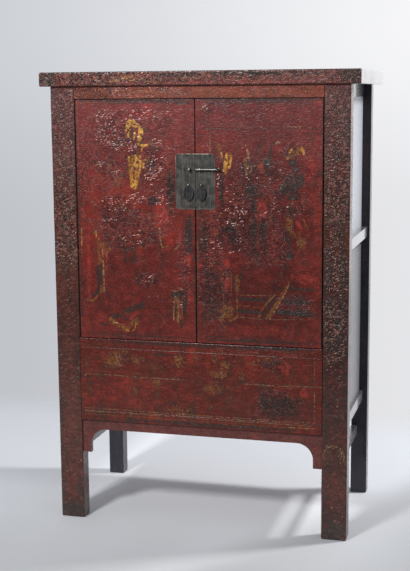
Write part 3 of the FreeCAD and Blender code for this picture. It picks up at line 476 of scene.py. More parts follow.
def paint_left_door(x, z):
    """Smoke and vermilion clouds, a gilt attendant and three dull ones, branches and smoked edges, with painted shadow
    in the gaps and painted highlight beside it, all broken.
    """
    brush = Brush(x, z)
    brush.blots("fire", """
        -335 1350 95 80 .36; -405 1290 40 130 .46; -130 1180 40 44 .8 -30; -110 1110 40 66 .6; -72 1130 22 60 .5;
        -424 1000 10 170 .6; -330 770 120 30 .36; -32 900 9 40 .62; -60 765 44 26 .5; -300 1250 80 40 .36;
        -60 1560 70 30 .3; -38 1028 18 22 1; -140 1222 22 14 .8; -200 880 120 60 .2; -385 930 30 20 .4""",
                310, (26, 26))
    brush.blots("ink", """
        -30 1130 18 84 .9; -165 1440 22 34 .5; -350 1375 60 36 .45; -350 1490 50 60 .35; -300 1190 130 40 .46;
        -335 1100 62 50 .4; -248 1040 30 44 .5; -290 1455 50 30 .5; -455 1150 6 460 .6; -75 890 34 30 .5;
        -245 842 60 16 .82 24; -320 806 40 14 .7 10; -8 950 8 240 .7; -168 1248 24 20 .8; -96 1290 18 84 .75;
        -176 1372 28 40 .6; -240 733 240 8 .62; -150 940 90 60 .2; -385 960 9 44 .7; -280 1336 14 14 .6""",
                330, (16, 16))
    brush.blots("ochre", """
        -300 1312 18 32 .7; -328 1376 7 26 .8; -365 1078 18 16 .6; -380 1228 30 8 .5; -240 800 22 26 .6;
        -180 1190 30 16 .5; -90 1190 20 10 .5; -310 1228 60 12 .4""",
                350, (9, 12))
    for paint, strength, robe in (
            ("ochre", 0.8, "-264 1412 -212 1416 -200 1390 -208 1340 -224 1284 -252 1284 -258 1340 -266 1388"),
            ("gilt", 0.66, "-260 1402 -232 1408 -210 1400 -214 1350 -228 1292 -248 1290 -256 1340")):
        brush.fill(paint, pairs(table(robe)[0]), strength)
    brush.strokes("""
        ink 30 .55 -262 1474 -262 1514 -244 1536 -222 1522 -208 1500 -214 1456;
        ochre 19 .8 -262 1482 -262 1512 -246 1536 -226 1522 -209 1502 -212 1460; gilt 15 1 -258 1482 -262 1506;
        gilt 18 1 -260 1512 -252 1532; gilt 12 .95 -248 1540 -234 1532; gilt 8 .9 -252 1502 -242 1520 -230 1514;
        gilt 17 1 -224 1520 -210 1504; gilt 20 1 -209 1500 -210 1480; gilt 14 1 -212 1478 -220 1452;
        gilt 7 .85 -232 1494 -236 1470; ink 20 .6 -218 1448 -232 1414; ochre 13 .8 -216 1452 -226 1410;
        gilt 10 .95 -222 1453 -200 1445 -178 1452; gilt 7 .9 -204 1448 -207 1426; ochre 9 .8 -178 1452 -160 1468;
        ochre 7 .7 -148 1478 -145 1440; gilt 8 .95 -257 1406 -255 1360 -248 1296; gilt 6 .9 -246 1410 -243 1372;
        gilt 11 1 -232 1408 -228 1366 -236 1312; gilt 7 .95 -214 1410 -212 1370 -224 1322;
        gilt 10 .9 -244 1318 -237 1290; gilt 8 .85 -198 1392 -204 1366; gilt 6 .8 -190 1402 -192 1386;
        ochre 8 .8 -186 1394 -190 1366; ink 4 .6 -238 1352 -241 1326; ink 4 .5 -222 1402 -222 1380;
        tan 4 .8 -404 1322 -402 1276; tan 6 .7 -374 1388 -366 1372; tan 3 .7 -420 1236 -360 1240;
        tan 2.6 .6 -415 1250 -372 1252; ochre 14 .8 -396 1126 -380 1080; gilt 7 .7 -394 1124 -388 1104;
        tan 8 .95 -386 1106 -376 1086; ochre 15 .95 -378 1084 -356 1050 -340 1062; ochre 12 .9 -384 1066 -380 1020;
        fire 10 .7 -362 1056 -348 1026; tan 5 .9 -370 1070 -366 1030; tan 4 .8 -352 1062 -350 1030;
        ochre 22 .6 -378 1020 -376 900; tan 7 .9 -366 1020 -363 900; tan 4 .6 -352 1030 -356 960;
        ink 9 .6 -376 1000 -374 930; ink 12 .85 -388 990 -384 930 -394 878; ink 8 .7 -352 900 -338 872;
        ochre 8 .9 -434 866 -408 862 -390 884; ink 10 .6 -410 880 -390 900; tan 6 1 -449 1138 -450 1072;
        tan 3 .8 -452 1068 -452 1040; ink 12 .6 -280 798 -240 812; ochre 20 .95 -340 792 -310 774 -276 758;
        tan 10 .8 -332 786 -304 770; ochre 16 .8 -268 766 -246 796; fire 12 .6 -262 800 -236 824;
        gilt 5 .85 -326 788 -296 770 -270 753; gilt 4 .85 -262 746 -247 760 -240 784; gilt 4 .7 -230 756 -236 790;
        ink 10 .6 -388 778 -350 770; tan 3 .6 -372 806 -332 800; tan 5 1 -100 915 -80 909 -62 922;
        ink 22 .8 -92 896 -60 902; ochre 20 .85 -82 884 -72 800; ink 6 .7 -82 870 -84 810; tan 5 .95 -91 872 -92 800;
        tan 4.5 .9 -73 860 -75 796; tan 3.5 .7 -58 872 -60 812; ink 12 .85 -46 882 -52 828;
        ink 10 .85 -68 802 -62 778; tan 3 .7 -106 880 -98 868; tan 6 1 -142 1150 -138 1086;
        tan 4 .9 -138 1086 -132 1072 -110 1078; tan 4 .95 -88 1062 -54 1096; ink 3 .7 -118 1062 -134 1004 -128 958;
        tan 2.6 .6 -302 1098 -246 1130 -208 1118; ink 3 .6 -290 1090 -232 1112 -200 1140;
        ink 14 .55 -278 1066 -276 1018; ink 12 .5 -240 1070 -238 1010; tan 2.6 .6 -220 950 -196 962 -180 940;
        ink 3 .6 -214 930 -190 918""")
    brush.blots("ink", """
        -243 1487 7 24 .8; -156 1456 16 22 .6; -226 1430 10 12 .5; -276 1450 16 20 .5""",
                372, (9, 9), 0.7, 0.6)
    for level in np.arange(1226.0, 1352.0, 6.0):
        brush.line("ink", [(-112 + 10 * math.sin(level * 0.7), level), (-80, level + 1)], 2.4, 0.8)
    brush.blots("ink", """
        -230 1606 240 8 .95; -60 1600 60 9 .8; -300 1600 60 8 .5""", 395, (22, 9))
    # Lines along the door's edges: the black ones at the very edges are painted shadow in the gaps, and the pale tan
    # ones beside them are painted highlight on the edges.
    brush.strokes("""
        tan 2.4 .6 -470 729 -300 733 -40 728; ink 2.6 .7 -440 744 -120 746; ink 5 1 -6 725 -6 1214;
        ink 4 .6 -6 1420 -6 1610; ink 4 1 -462 725 -462 1610; ink 4 1 -462 1612 -8 1612; tan 3 .6 -455 1606 -453 1400;
        tan 3 .7 -450 1604 -250 1603""")
    return brush.worn(31, 0.75)


def paint_right_door(x, z):
    """Smoke clouds, dark and gilt attendants, a garden rail with a leaning plank, thin border lines, and painted shadow
    in the gaps with a painted highlight under the top edge.
    """
    brush = Brush(x, z)
    brush.blots("fire", """
        420 1370 24 60 .55; 436 1150 18 190 .36; 240 1210 30 50 .6; 400 972 60 26 .6; 250 975 60 20 .36;
        300 1120 50 60 .3; 230 776 210 30 .4; 60 1440 50 60 .3; 116 950 14 48 .6 -3; 180 1540 140 30 .2;
        116 1020 14 22 .85; 126 862 18 26 .4; 290 1080 50 90 .4; 240 1372 14 18 .8; 300 1400 30 20 .3;
        440 930 20 40 .5""", 410, (26, 24))
    brush.blots("ink", """
        352 1385 16 15 .95; 266 1390 18 30 .95; 195 1360 26 36 .55; 204 1284 28 34 .9; 352 1225 18 34 .6;
        28 1120 24 90 .6; 48 970 40 110 .5; 60 850 36 56 .55; 14 1150 12 200 .5; 120 1150 34 18 .6; 213 1150 13 46 .8;
        248 1148 12 46 .8; 342 1140 16 70 .8; 350 1056 18 20 .95; 396 1140 10 50 .5; 250 1440 20 20 .3;
        230 735 240 7 .7; 92 1300 11 90 .8; 426 1210 8 150 .4; 270 885 40 40 .5; 370 890 60 30 .55; 386 850 56 12 .8;
        250 1270 26 18 .45; 330 1090 8 20 .5; 300 960 40 12 .4; 190 1010 40 30 .3; 165 975 10 30 .6""", 430, (16, 16))
    brush.blots("ink", """
        352 1312 38 42 1 15; 326 1294 24 26 1; 380 1326 22 28 1; 358 1264 24 14 .9; 366 1362 18 14 .8;
        342 1396 8 10 .8; 362 1392 8 12 .8""", 446, (12, 12), 0.45, 0.15)
    brush.blots("ochre", """
        90 1428 11 30 .75; 368 1424 26 12 .7; 190 1368 14 26 .7; 342 1166 16 30 .95; 388 1100 22 30 .85;
        372 1130 16 20 .6; 350 1310 30 30 .4; 150 1290 40 40 .3; 250 1318 40 10 .5; 112 838 30 40 .95;
        92 816 16 16 .8; 148 945 12 40 .8; 302 880 14 60 .6 -34; 270 835 30 8 .5; 40 1180 40 8 .5; 350 1130 10 20 .5""",
                450, (9, 11))
    brush.strokes("""
        ochre 26 .8 120 1414 108 1356; ochre 16 .7 84 1446 94 1400; gilt 14 1 116 1414 104 1354;
        gilt 12 1 128 1404 122 1368; gilt 6 .8 92 1440 96 1410; tan 6 .85 184 1450 190 1428;
        tan 9 .95 191 1432 196 1402; ochre 16 .9 182 1396 186 1348; tan 5 .8 206 1376 208 1356;
        ink 8 .8 174 1386 178 1344; tan 5 .8 202 1372 206 1352; ink 6 .8 196 1392 214 1380;
        tan 2.6 .8 226 1378 250 1388; tan 2.6 .8 228 1362 250 1370; tan 2.4 .7 236 1388 240 1358;
        ink 6 .9 270 1418 281 1454; tan 2.6 .8 254 1398 262 1412; ochre 6 .8 250 1366 256 1344;
        ink 5 .9 280 1454 302 1462; tan 5 .95 294 1456 304 1462; ink 10 .8 266 1400 274 1432;
        ochre 16 .9 342 1408 352 1430 376 1430; ochre 14 .8 352 1410 378 1416; gilt 11 1 376 1438 393 1430;
        gilt 9 1 389 1442 395 1418; ochre 7 .8 345 1410 366 1416; gilt 6 .9 341 1420 353 1442;
        tan 3 .8 400 1412 412 1398; tan 3 .9 424 1448 428 1436; gilt 3 .8 332 1408 338 1398;
        ochre 4 .6 352 1344 364 1300; tan 2.6 .6 330 1334 318 1302; tan 2.4 .6 372 1330 384 1300;
        ink 16 .75 210 1254 214 1212; tan 2.6 .6 188 1302 214 1312; tan 2.6 .6 206 1290 214 1270;
        ochre 12 .8 338 1188 350 1140; fire 13 .9 372 1178 384 1156; ochre 7 .8 396 1186 406 1160;
        tan 3 .8 372 1120 380 1082 368 1050; tan 3 .7 398 1112 392 1080; tan 2.6 .7 356 1150 364 1128;
        ink 8 .7 212 1110 206 1062; ink 7 .8 252 1112 256 1064; ink 3 .7 180 1058 262 1055;
        ink 5 .85 90 1141 152 1143; ink 5 .8 95 1140 93 1086; ink 7 .85 130 1168 134 1090; ink 4 .8 150 1140 149 1090;
        ink 3 .7 92 1104 150 1102; tan 2.4 .7 90 1160 116 1166; ochre 5 .7 100 988 96 930 100 888;
        ink 5 .7 136 1000 140 930; ochre 5 .7 130 980 128 900; ochre 6 .8 160 962 150 900 152 832;
        ochre 9 .85 152 824 128 808; ink 8 .85 110 802 126 796; tan 3 .7 100 884 97 822; tan 3 .6 126 884 124 822;
        tan 4 .7 165 906 300 907; ink 14 .8 160 892 236 890; ochre 5 .8 160 867 250 860; ink 16 .8 158 848 236 842;
        tan 2.8 .8 158 824 250 818 440 826; ink 18 .8 300 848 430 842; ink 12 .7 330 890 424 884;
        ink 8 .75 290 936 432 934; ink 26 .5 250 828 290 900; ochre 8 .75 230 826 254 872 290 910;
        ochre 15 .7 262 824 300 880 336 940; tan 5 .85 272 822 308 880 342 948; tan 2.6 .7 340 950 352 986;
        tan 2.4 .6 290 945 330 950; ink 3.2 .8 16 1509 448 1509; ink 2.4 .7 16 1522 300 1522;
        tan 3.4 1 330 1515 392 1514; tan 2.6 .7 150 1514 260 1513; tan 4.6 1 52 1424 52 1486; tan 5 1 22 1592 34 1578;
        tan 3 .7 100 1572 102 1562; ink 3.4 .75 10 746 450 743; ink 3 .65 10 731 440 729; ink 2 .6 432 750 432 1590;
        ink 3 .6 455 735 455 1590; tan 2 .5 436 760 437 1500""")
    brush.blots("ink", """
        230 1606 240 9 .9; 100 1598 60 8 .6; 380 1597 80 10 .5""", 495, (22, 9))
    # Lines at the door's very edges: black ones are painted shadow in the gaps, and the pale tan one under the top edge
    # is painted highlight.
    brush.strokes("""
        ink 4 .9 -2 725 -2 1214; ink 4 1 462 725 462 1610; ink 4 1 0 1612 460 1612; tan 2.6 .5 20 1604 300 1603""")
    return brush.worn(47, 0.75)


def paint_lower_boards(x, z):
    """Faded sprays in a bordered field, with a smoked patch, a pale line along the joint and dark bands, the band along
    the top of the sill being painted shadow under the doors.
    """
    brush = Brush(x, z)
    brush.blots("fire", """
        -105 662 70 24 .4; -90 610 50 24 .36; 330 640 34 34 .6; 60 672 60 16 .5; 400 548 22 22 .7; -180 545 60 24 .36;
        -60 520 70 34 .3; 150 560 70 20 .36; 330 690 90 8 .5; 180 612 60 22 .42; -230 470 70 26 .4;
        -350 500 70 50 .3""",
                510, (26, 20))
    # The dark band along the top of the sill, just under the doors, is painted shadow; the other ink marks are smoke
    # and dark bands of paint.
    brush.blots("ink", """
        298 500 92 56 .72; 350 482 60 38 .6; 250 560 60 30 .5; -440 600 20 60 .6; -60 709 420 8 .7; 300 712 170 9 .8;
        -150 668 60 9 .6; 0 408 470 7 .8; 270 664 46 22 .8; -160 620 60 30 .46; 430 490 24 50 .5; 300 610 30 24 .5;
        -430 545 26 14 .6; -300 660 50 30 .4; -250 520 14 24 .6; 50 480 22 9 .75; -104 482 30 10 .6;
        100 472 60 5 .6 -12; -380 430 90 16 .5; 0 590 40 100 .3""",
                530, (18, 14))
    for number, (spray_x, spray_z, wide, high, strength) in enumerate(table("""
            -330 636 46 34 .8; -300 672 34 14 .6; -236 640 28 20 .66; -74 645 26 26 .95; -160 622 44 22 .5;
            -6 662 12 10 .7; 64 658 13 22 .7; 106 642 22 18 .8; 82 606 46 20 .7; 210 652 26 12 .7; 276 670 34 18 .6;
            168 602 14 24 .6; -162 556 24 18 .8; -246 522 12 22 .6; -76 456 54 22 .7; 60 548 44 22 .7; 46 480 18 9 .6;
            296 606 18 12 .5; -440 605 14 44 .4; 120 555 14 8 .7""")):
        for paint, off, wider, higher, stronger, seed, grain, ragged in (
                ("ink", 0.2, 1.25, 1.05, 1.0, 580, (10, 8), 1.0), ("tan", 0.0, 1.0, 1.0, 1.12, 550, (8, 7), 0.9),
                ("ochre", -0.2, 0.7, 0.7, 1.3, 565, (7, 6), 1.0)):
            spot = f"{spray_x + off * wide} {spray_z} {wide * wider} {high * higher} {stronger * strength}"
            brush.blots(paint, spot, seed + number, grain, ragged, 0.9)
    for spray_x, spray_z, tall, turn in ((-330, 612, 54, 1), (-74, 628, 36, -1), (86, 594, 34, 1), (240, 640, 40, -1)):
        brush.leafy_spray(spray_x, spray_z, tall, "tan", "ochre", turn, 0.9)
    brush.strokes("""
        ink 3 .62 -452 592 -452 672; ink 3 .62 -424 592 -424 672; ink 3.4 .62 424 592 424 672;
        ink 2.4 .62 431 592 431 672; tan 3 .95 439 442 439 560; tan 2.4 .7 439 586 439 672;
        ink 3 .5 -440 584 455 582; tan 3.4 .95 -452 570 -440 579 -60 575; tan 3.4 .95 180 574 340 573 344 577 470 577;
        tan 2.4 1 -455 432 440 429; tan 2.4 .95 -455 444 440 441; ink 2.4 .6 -455 452 440 449;
        ochre 2.4 1 -455 422 440 419; ink 2.4 .8 -455 398 440 395; tan 3.4 .9 345 420 440 420""")
    return brush.worn(59, 0.78)


def paint_post(x, z):
    """Smoke and dull red patches, dark feet, and a small arch with tassels low on the post, nearly rubbed away."""
    brush = Brush(x, z)
    brush.blots("fire", """
        -508 1640 40 40 .26; -500 1560 30 30 .26; -490 1440 24 90 .22; -512 960 26 180 .3; -508 720 34 120 .33;
        -514 420 28 160 .33; -510 160 30 80 .36; 512 1660 40 14 .36; 500 1580 24 30 .22; 512 1440 26 60 .17;
        512 1000 22 200 .26; 514 620 24 120 .3; 512 180 30 110 .4""", 610, (24, 40))
    brush.blots("ink", """
        -545 1450 18 260 .5; -476 1380 8 280 .5; -540 800 16 300 .46; -477 620 9 260 .5; -512 22 60 46 .9;
        -480 120 12 90 .7; -550 120 10 100 .7; -548 420 10 180 .55; 545 1450 18 260 .62; 478 1440 10 300 .5;
        483 980 10 180 .72; 541 980 12 180 .62; 545 560 12 200 .6; 512 24 60 52 .92; 478 480 9 200 .5;
        512 1300 30 120 .4; 530 760 34 90 .5; -500 1500 24 90 .36""", 640, (18, 34))
    brush.blots("tan", """
        -520 1360 22 120 .3; -512 1210 34 36 .4; 512 350 38 60 .42; 480 1000 6 140 .5; -516 1540 40 120 .34;
        -500 1400 40 60 .26; 512 1500 40 150 .26; 512 1240 30 60 .3; -512 1140 30 60 .3;
        512 720 34 60 .3""", 670, (9, 16), 0.9, 0.9)
    for middle, strength in ((-512.0, 0.4), (512.0, 1.0)):
        brush.line("tan", curl(middle, 322, 38, 205, -230), 3.6, strength)
        brush.line("tan", curl(middle + 6, 330, 24, 200, -200), 2.2, 0.7 * strength)
        for width, share, tassel in ((3.0, 1.0, "20 350 30 326 22 306 28 286"), (2.6, 0.8, "34 344 16 322 32 312"),
                                     (2.2, 0.7, "-20 346 -30 316 -22 290")):
            points = [(middle + off, level) for off, level in pairs(table(tassel)[0])]
            brush.line("tan", points, width, share * strength)
    return brush.worn(63, 0.62)


def paint_top_edge(x, z):
    """A dark upper half, dull red below, and flecks and curls of old gilding along the top's front."""
    brush = Brush(x, z)
    brush.blots("fire", """
        150 1672 380 9 .6; -250 1676 120 10 .45; -420 1690 60 12 .36; 470 1690 60 20 .4; 120 1684 180 8 .4""",
                710, (34, 12))
    brush.blots("ink", """
        -560 1690 60 30 .8; -60 1700 130 12 .7; 200 1702 200 10 .75; 560 1690 70 34 .9; -300 1704 150 9 .5;
        -470 1690 40 26 .5; 400 1700 90 12 .6""", 730, (30, 10))
    for number, start in enumerate(np.arange(-560.0, 560.0, 46.0)):
        lift = 6.0 * math.sin(number * 2.1)
        brush.line("tan", [(start, 1682 + lift), (start + 16, 1696 + lift), (start + 24, 1690 + lift)], 2.4, 0.62)
        brush.line("tan", [(start + 22, 1676), (start + 40, 1684)], 2.4, 0.5)
    brush.blots("gilt", """
        -300 1682 26 12 .7; -256 1694 30 10 .8; -230 1680 22 8 .7; -150 1676 50 6 .5; 50 1690 18 8 .6;
        90 1674 40 5 .4; -60 1690 40 8 .5; -420 1694 10 5 .6""",
                750, (9, 7), 0.9, 0.9)
    brush.marks["ink"] = np.maximum(brush.marks["ink"], ramp(z, 1711.4, 1712.6))
    return brush.worn(71, 0.62)


def paint_top_rail(x, z):
    """Orange-red with rubbed gilt strokes, darker where it meets the posts."""
    brush = Brush(x, z)
    brush.blots("ink", """
        -440 1640 50 40 .36; 440 1640 60 40 .36; 0 1619 460 3 .5; -130 1640 30 30 .3; 330 1622 90 6 .5;
        60 1650 60 10 .2""", 810, (18, 12))
    brush.blots("ochre", """
        -330 1640 60 14 .5; -210 1642 70 12 .66; -60 1634 90 10 .5; 40 1640 50 14 .5; 200 1642 40 16 .36;
        -420 1632 30 10 .5""", 830, (14, 9))
    for start in (-300, -236, -190, -140, 20):
        brush.line("gilt", curl(start, 1624, 20, 150, -90), 2.4, 0.6)
    for streak_x in (96, 140, 205, 302, 345):
        brush.line("tan", [(streak_x, 1620), (streak_x + 2, 1658)], 3.0, 0.5)
    return brush.worn(87, 0.6)


# Node helpers

class Tree:
    """Adds and joins nodes in one material, world or group."""

    def __init__(self, tree):
        self.tree = tree

    def add(self, kind, **settings):
        node = self.tree.nodes.new(kind if kind.startswith("NodeGroup") else "ShaderNode" + kind)
        for key, value in settings.items():
            setattr(node, key, value)
        return node

    def feed(self, socket, value):
        """Joins a socket to a socket or sets it to a plain value."""
        if isinstance(value, bpy.types.NodeSocket):
            self.tree.links.new(value, socket)
        elif value is not None:
            socket.default_value = value

    def put(self, node, *first, **named):
        """Feeds a node's first inputs in their order and others by name, with _ for a space."""
        for socket, value in zip(node.inputs, first):
            self.feed(socket, value)
        for name, value in named.items():
            self.feed(node.inputs[name.replace("_", " ")], value)
        return node

    def math(self, operation, a, b=None, clamp=False):
        return self.put(self.add("Math", operation=operation, use_clamp=clamp), a, b).outputs[0]

    def plus(self, a, b, clamp=False):
        return self.math("ADD", a, b, clamp)

    def minus(self, a, b):
        return self.math("SUBTRACT", a, b)

    def times(self, a, b, clamp=False):
        return self.math("MULTIPLY", a, b, clamp)

    def between(self, value, low, high, to_low=0.0, to_high=1.0):
        """A smooth step from to_low at low to to_high at high."""
        node = self.add("MapRange", interpolation_type="SMOOTHSTEP")
        return self.put(node, value, low, high, to_low, to_high).outputs[0]

    def mix(self, amount, a, b, kind="MIX"):
        node = self.add("Mix", data_type="RGBA", blend_type=kind, clamp_factor=True)
        for place, value in ((0, amount), (6, a), (7, b)):
            self.feed(node.inputs[place], value)
        return node.outputs[2]

    def dim(self, colour, amount):
        """The colour times one number."""
        return self.mix(1.0, colour, self.put(self.add("CombineColor"), amount, amount, amount).outputs[0], "MULTIPLY")

    def stretched(self, vector, scale):
        return self.put(self.add("Mapping"), Vector=vector, Scale=scale).outputs[0]

    def noise(self, vector, scale, detail=4.0, rough=0.55, stretch=None):
        if stretch:
            vector = self.stretched(vector, stretch)
        return self.put(self.add("TexNoise"), Vector=vector, Scale=scale, Detail=detail, Roughness=rough).outputs["Fac"]

    def mark(self, name):
        return self.add("Attribute", attribute_type="GEOMETRY", attribute_name=name).outputs["Fac"]

    def place(self):
        return self.add("TexCoord").outputs["Object"]

    def axes(self, vector):
        """The X, Y and Z of a vector."""
        return self.put(self.add("SeparateXYZ"), vector).outputs

    def toward(self, vector, way):
        """How far a vector goes along a way."""
        return self.put(self.add("VectorMath", operation="DOT_PRODUCT"), vector, way).outputs["Value"]

    def group(self, tree, **values):
        return self.put(self.add("Group", node_tree=tree), **values)


def new_group(name, colours, numbers, gives):
    """An empty node group that takes Place and the named colours and numbers. All that it gives are numbers, but for
    Color."""
    tree = bpy.data.node_groups.new(name, "ShaderNodeTree")
    sockets = [("Place", "INPUT", "Vector")] + [(label, "INPUT", "Color") for label in colours.split()]
    sockets += [(label, "INPUT", "Float") for label in numbers.split()]
    sockets += [(label, "OUTPUT", "Color" if label == "Color" else "Float") for label in gives.split()]
    for label, way, kind in sockets:
        tree.interface.new_socket(label, in_out=way, socket_type="NodeSocket" + kind)
    n = Tree(tree)
    return tree, n, n.add("NodeGroupInput").outputs, n.add("NodeGroupOutput")


def shade(red, green, blue):
    """A colour written as it looks on the screen, from 0 to 255, in the linear scale that sockets take."""
    return tuple(((c / 255 + 0.055) / 1.055) ** 2.4 if c > 10 else c / 255 / 12.92 for c in (red, green, blue)) + (1.0,)


# Effects that several finishes use

def make_mottle():
    """Clouded colour: a broad noise and a streaky one choose between three tones, and finer ones speck them."""
    tree, n, given, out = new_group("mottle", "Ground Patch Umber", "Patchy Streaky Hair", "Color Fleck")
    place = given["Place"]
    cross = n.noise(place, 34.0, 5.0, 0.66, (0.6, 1.0, 1.3))
    fleck = n.noise(place, 190.0, 4.0, 0.72, (0.8, 1.0, 1.25))

    def tone(noise, other, weight, share, low, high):
        """1 where a noise, with some of another added, is above a level that falls as the share grows."""
        drop = n.times(share, 0.5)
        return n.between(n.plus(noise, n.times(n.minus(other, 0.5), weight)), n.minus(low, drop), n.minus(high, drop))

    patch = tone(n.noise(place, 6.5, 5.0, 0.62), cross, 0.5, given["Patchy"], 0.72, 0.92)
    umber = tone(n.noise(place, 26.0, 6.0, 0.68, (1.0, 1.0, 0.5)), fleck, 0.8, given["Streaky"], 0.74, 0.98)
    colour = n.mix(patch, given["Ground"], given["Patch"])
    colour = n.mix(n.times(umber, 0.9), colour, given["Umber"])
    colour = n.dim(colour, n.between(n.plus(n.times(fleck, 0.7), n.times(cross, 0.3)), 0.34, 0.68, 0.5, 1.42))
    hair = n.noise(place, 150.0, 3.0, 0.6, (0.16, 1.0, 1.0))
    pale = n.mix(0.5, given["Patch"], shade(170, 124, 104))
    colour = n.mix(n.times(n.between(hair, 0.58, 0.74, 0.0, 0.24), given["Hair"]), colour, pale)
    colour = n.mix(n.times(n.between(hair, 0.42, 0.28, 0.0, 0.3), given["Hair"]), colour, shade(40, 22, 20))
    crumb = n.noise(place, 300.0, 2.0, 0.5)
    colour = n.mix(n.between(crumb, 0.66, 0.74, 0.0, 0.5), colour, shade(176, 132, 104))
    n.put(out, Color=colour, Fleck=fleck)
    return tree


def make_brushwork():
    """Lays rubbed gilt, ochre, smoke black, vermilion and olive over a ground, each mark broken by fine noise."""
    tree, n, given, out = new_group("brushwork", "Ground", "Gilt Ink Fire Tan Ochre", "Color Gold")
    broken = n.noise(given["Place"], 150.0, 4.0, 0.7)
    coarse = n.noise(given["Place"], 42.0, 4.0, 0.6)
    torn = n.minus(0.7, n.plus(n.times(broken, 0.9), n.times(coarse, 0.5)))

    def cover(mark, full):
        """The mark less the torn noise about its middle, turned into a soft-edged cover."""
        return n.times(n.between(n.plus(given[mark], torn), 0.2, 0.75), full)

    spread = n.between(broken, 0.35, 0.65)
    gold = cover("Gilt", 0.95)
    colour = n.mix(cover("Fire", 0.8), given["Ground"], shade(150, 49, 38))
    colour = n.mix(cover("Ochre", 0.8), colour, n.mix(spread, shade(74, 52, 30), shade(148, 94, 42)))
    colour = n.mix(cover("Tan", 0.8), colour, n.mix(spread, shade(80, 64, 42), shade(176, 136, 90)))
    colour = n.mix(cover("Ink", 0.86), colour, n.mix(broken, shade(30, 28, 26), shade(60, 52, 46)))
    leaf = n.mix(n.between(coarse, 0.35, 0.65), shade(170, 108, 36), shade(226, 172, 76))
    n.put(out, Color=n.mix(gold, colour, leaf), Gold=gold)
    return tree


def make_cracked():
    """Colour and shine of lifted lacquer: the hollows darker, as dirt and as painted shade, the ridges paler, as rubbed
    wear and as painted highlight, and black in the seams.
    """
    tree, n, given, out = new_group("cracked", "Ground Dirt", "Craze Relief Seam Wear Depth Fleck Shine Rub",
                                    "Color Roughness Height")
    place, craze, relief, seam, wear = (given[label] for label in ("Place", "Craze", "Relief", "Seam", "Wear"))
    # The hollows of the crazing are darkened: dirt that gathers there, and painted shade.
    hollow = n.times(n.between(relief, 0.5, 0.06), n.between(craze, 0.1, 0.8))
    hollow = n.times(hollow, given["Depth"], clamp=True)
    colour = n.mix(n.times(hollow, 0.85), given["Ground"], given["Dirt"])
    pit = n.between(n.noise(place, 135.0, 2.0, 0.5, (0.7, 1.0, 1.2)), 0.56, 0.66)
    colour = n.mix(n.times(pit, n.between(craze, 0.35, 1.0, 0.0, 0.85)), colour, given["Dirt"])
    # The ridges are lightened: rubbed wear, and painted highlight on the raised crests.
    ridge = n.times(n.between(relief, 0.6, 1.0), craze)
    colour = n.mix(n.times(ridge, given["Rub"]), colour, shade(172, 120, 106))
    colour = n.mix(n.times(wear, 0.7), colour, shade(48, 33, 28))
    colour = n.mix(n.times(seam, 0.75), colour, shade(26, 18, 16))
    dull = n.noise(place, 24.0, 4.0, 0.6)
    rough = n.plus(n.plus(given["Shine"], n.between(dull, 0.3, 0.7, -0.05, 0.08)), n.times(hollow, 0.2))
    rough = n.plus(rough, n.times(n.plus(seam, wear), 0.3), clamp=True)
    weave = n.noise(place, 320.0, 2.0, 0.5, (0.4, 1.0, 1.5))
    fold = n.noise(place, 105.0, 2.0, 0.55, (0.5, 1.0, 1.1))
    crest = n.between(n.math("ABSOLUTE", n.minus(fold, 0.5)), 0.0, 0.1, 1.0, 0.0)
    crest = n.times(crest, n.between(craze, 0.15, 1.0, 0.1, 1.9))
    fine = n.plus(n.times(given["Fleck"], 0.3), n.times(weave, 0.2))
    n.put(out, Color=colour, Roughness=rough, Height=n.plus(fine, crest))
    return tree


def make_grain():
    """Wood grain: a broad noise and a fine one, both on a place that is drawn out along the wood."""
    tree, n, given, out = new_group("grain", "Light Dark", "", "Color Height")
    bands = n.noise(given["Place"], 9.0, 6.0, 0.62)
    pores = n.noise(given["Place"], 60.0, 5.0, 0.7)
    share = n.plus(n.times(bands, 0.65), n.times(pores, 0.35))
    n.put(out, Color=n.mix(n.between(share, 0.36, 0.64), given["Dark"], given["Light"]), Height=share)
    return tree


mottle = make_mottle()
brushwork = make_brushwork()
cracked = make_cracked()
grain = make_grain()


def new_material(name):
    """A material, its tree, and the surface shader in it."""
    material = bpy.data.materials.new(name)
    material.use_nodes = True
    return material, Tree(material.node_tree), material.node_tree.nodes["Principled BSDF"]


def bump(n, height, strength, distance):
    """Normals bent by a height, as if it stood out by the distance in metres."""
    return n.put(n.add("Bump"), Strength=strength, Distance=distance, Height=height).outputs[0]


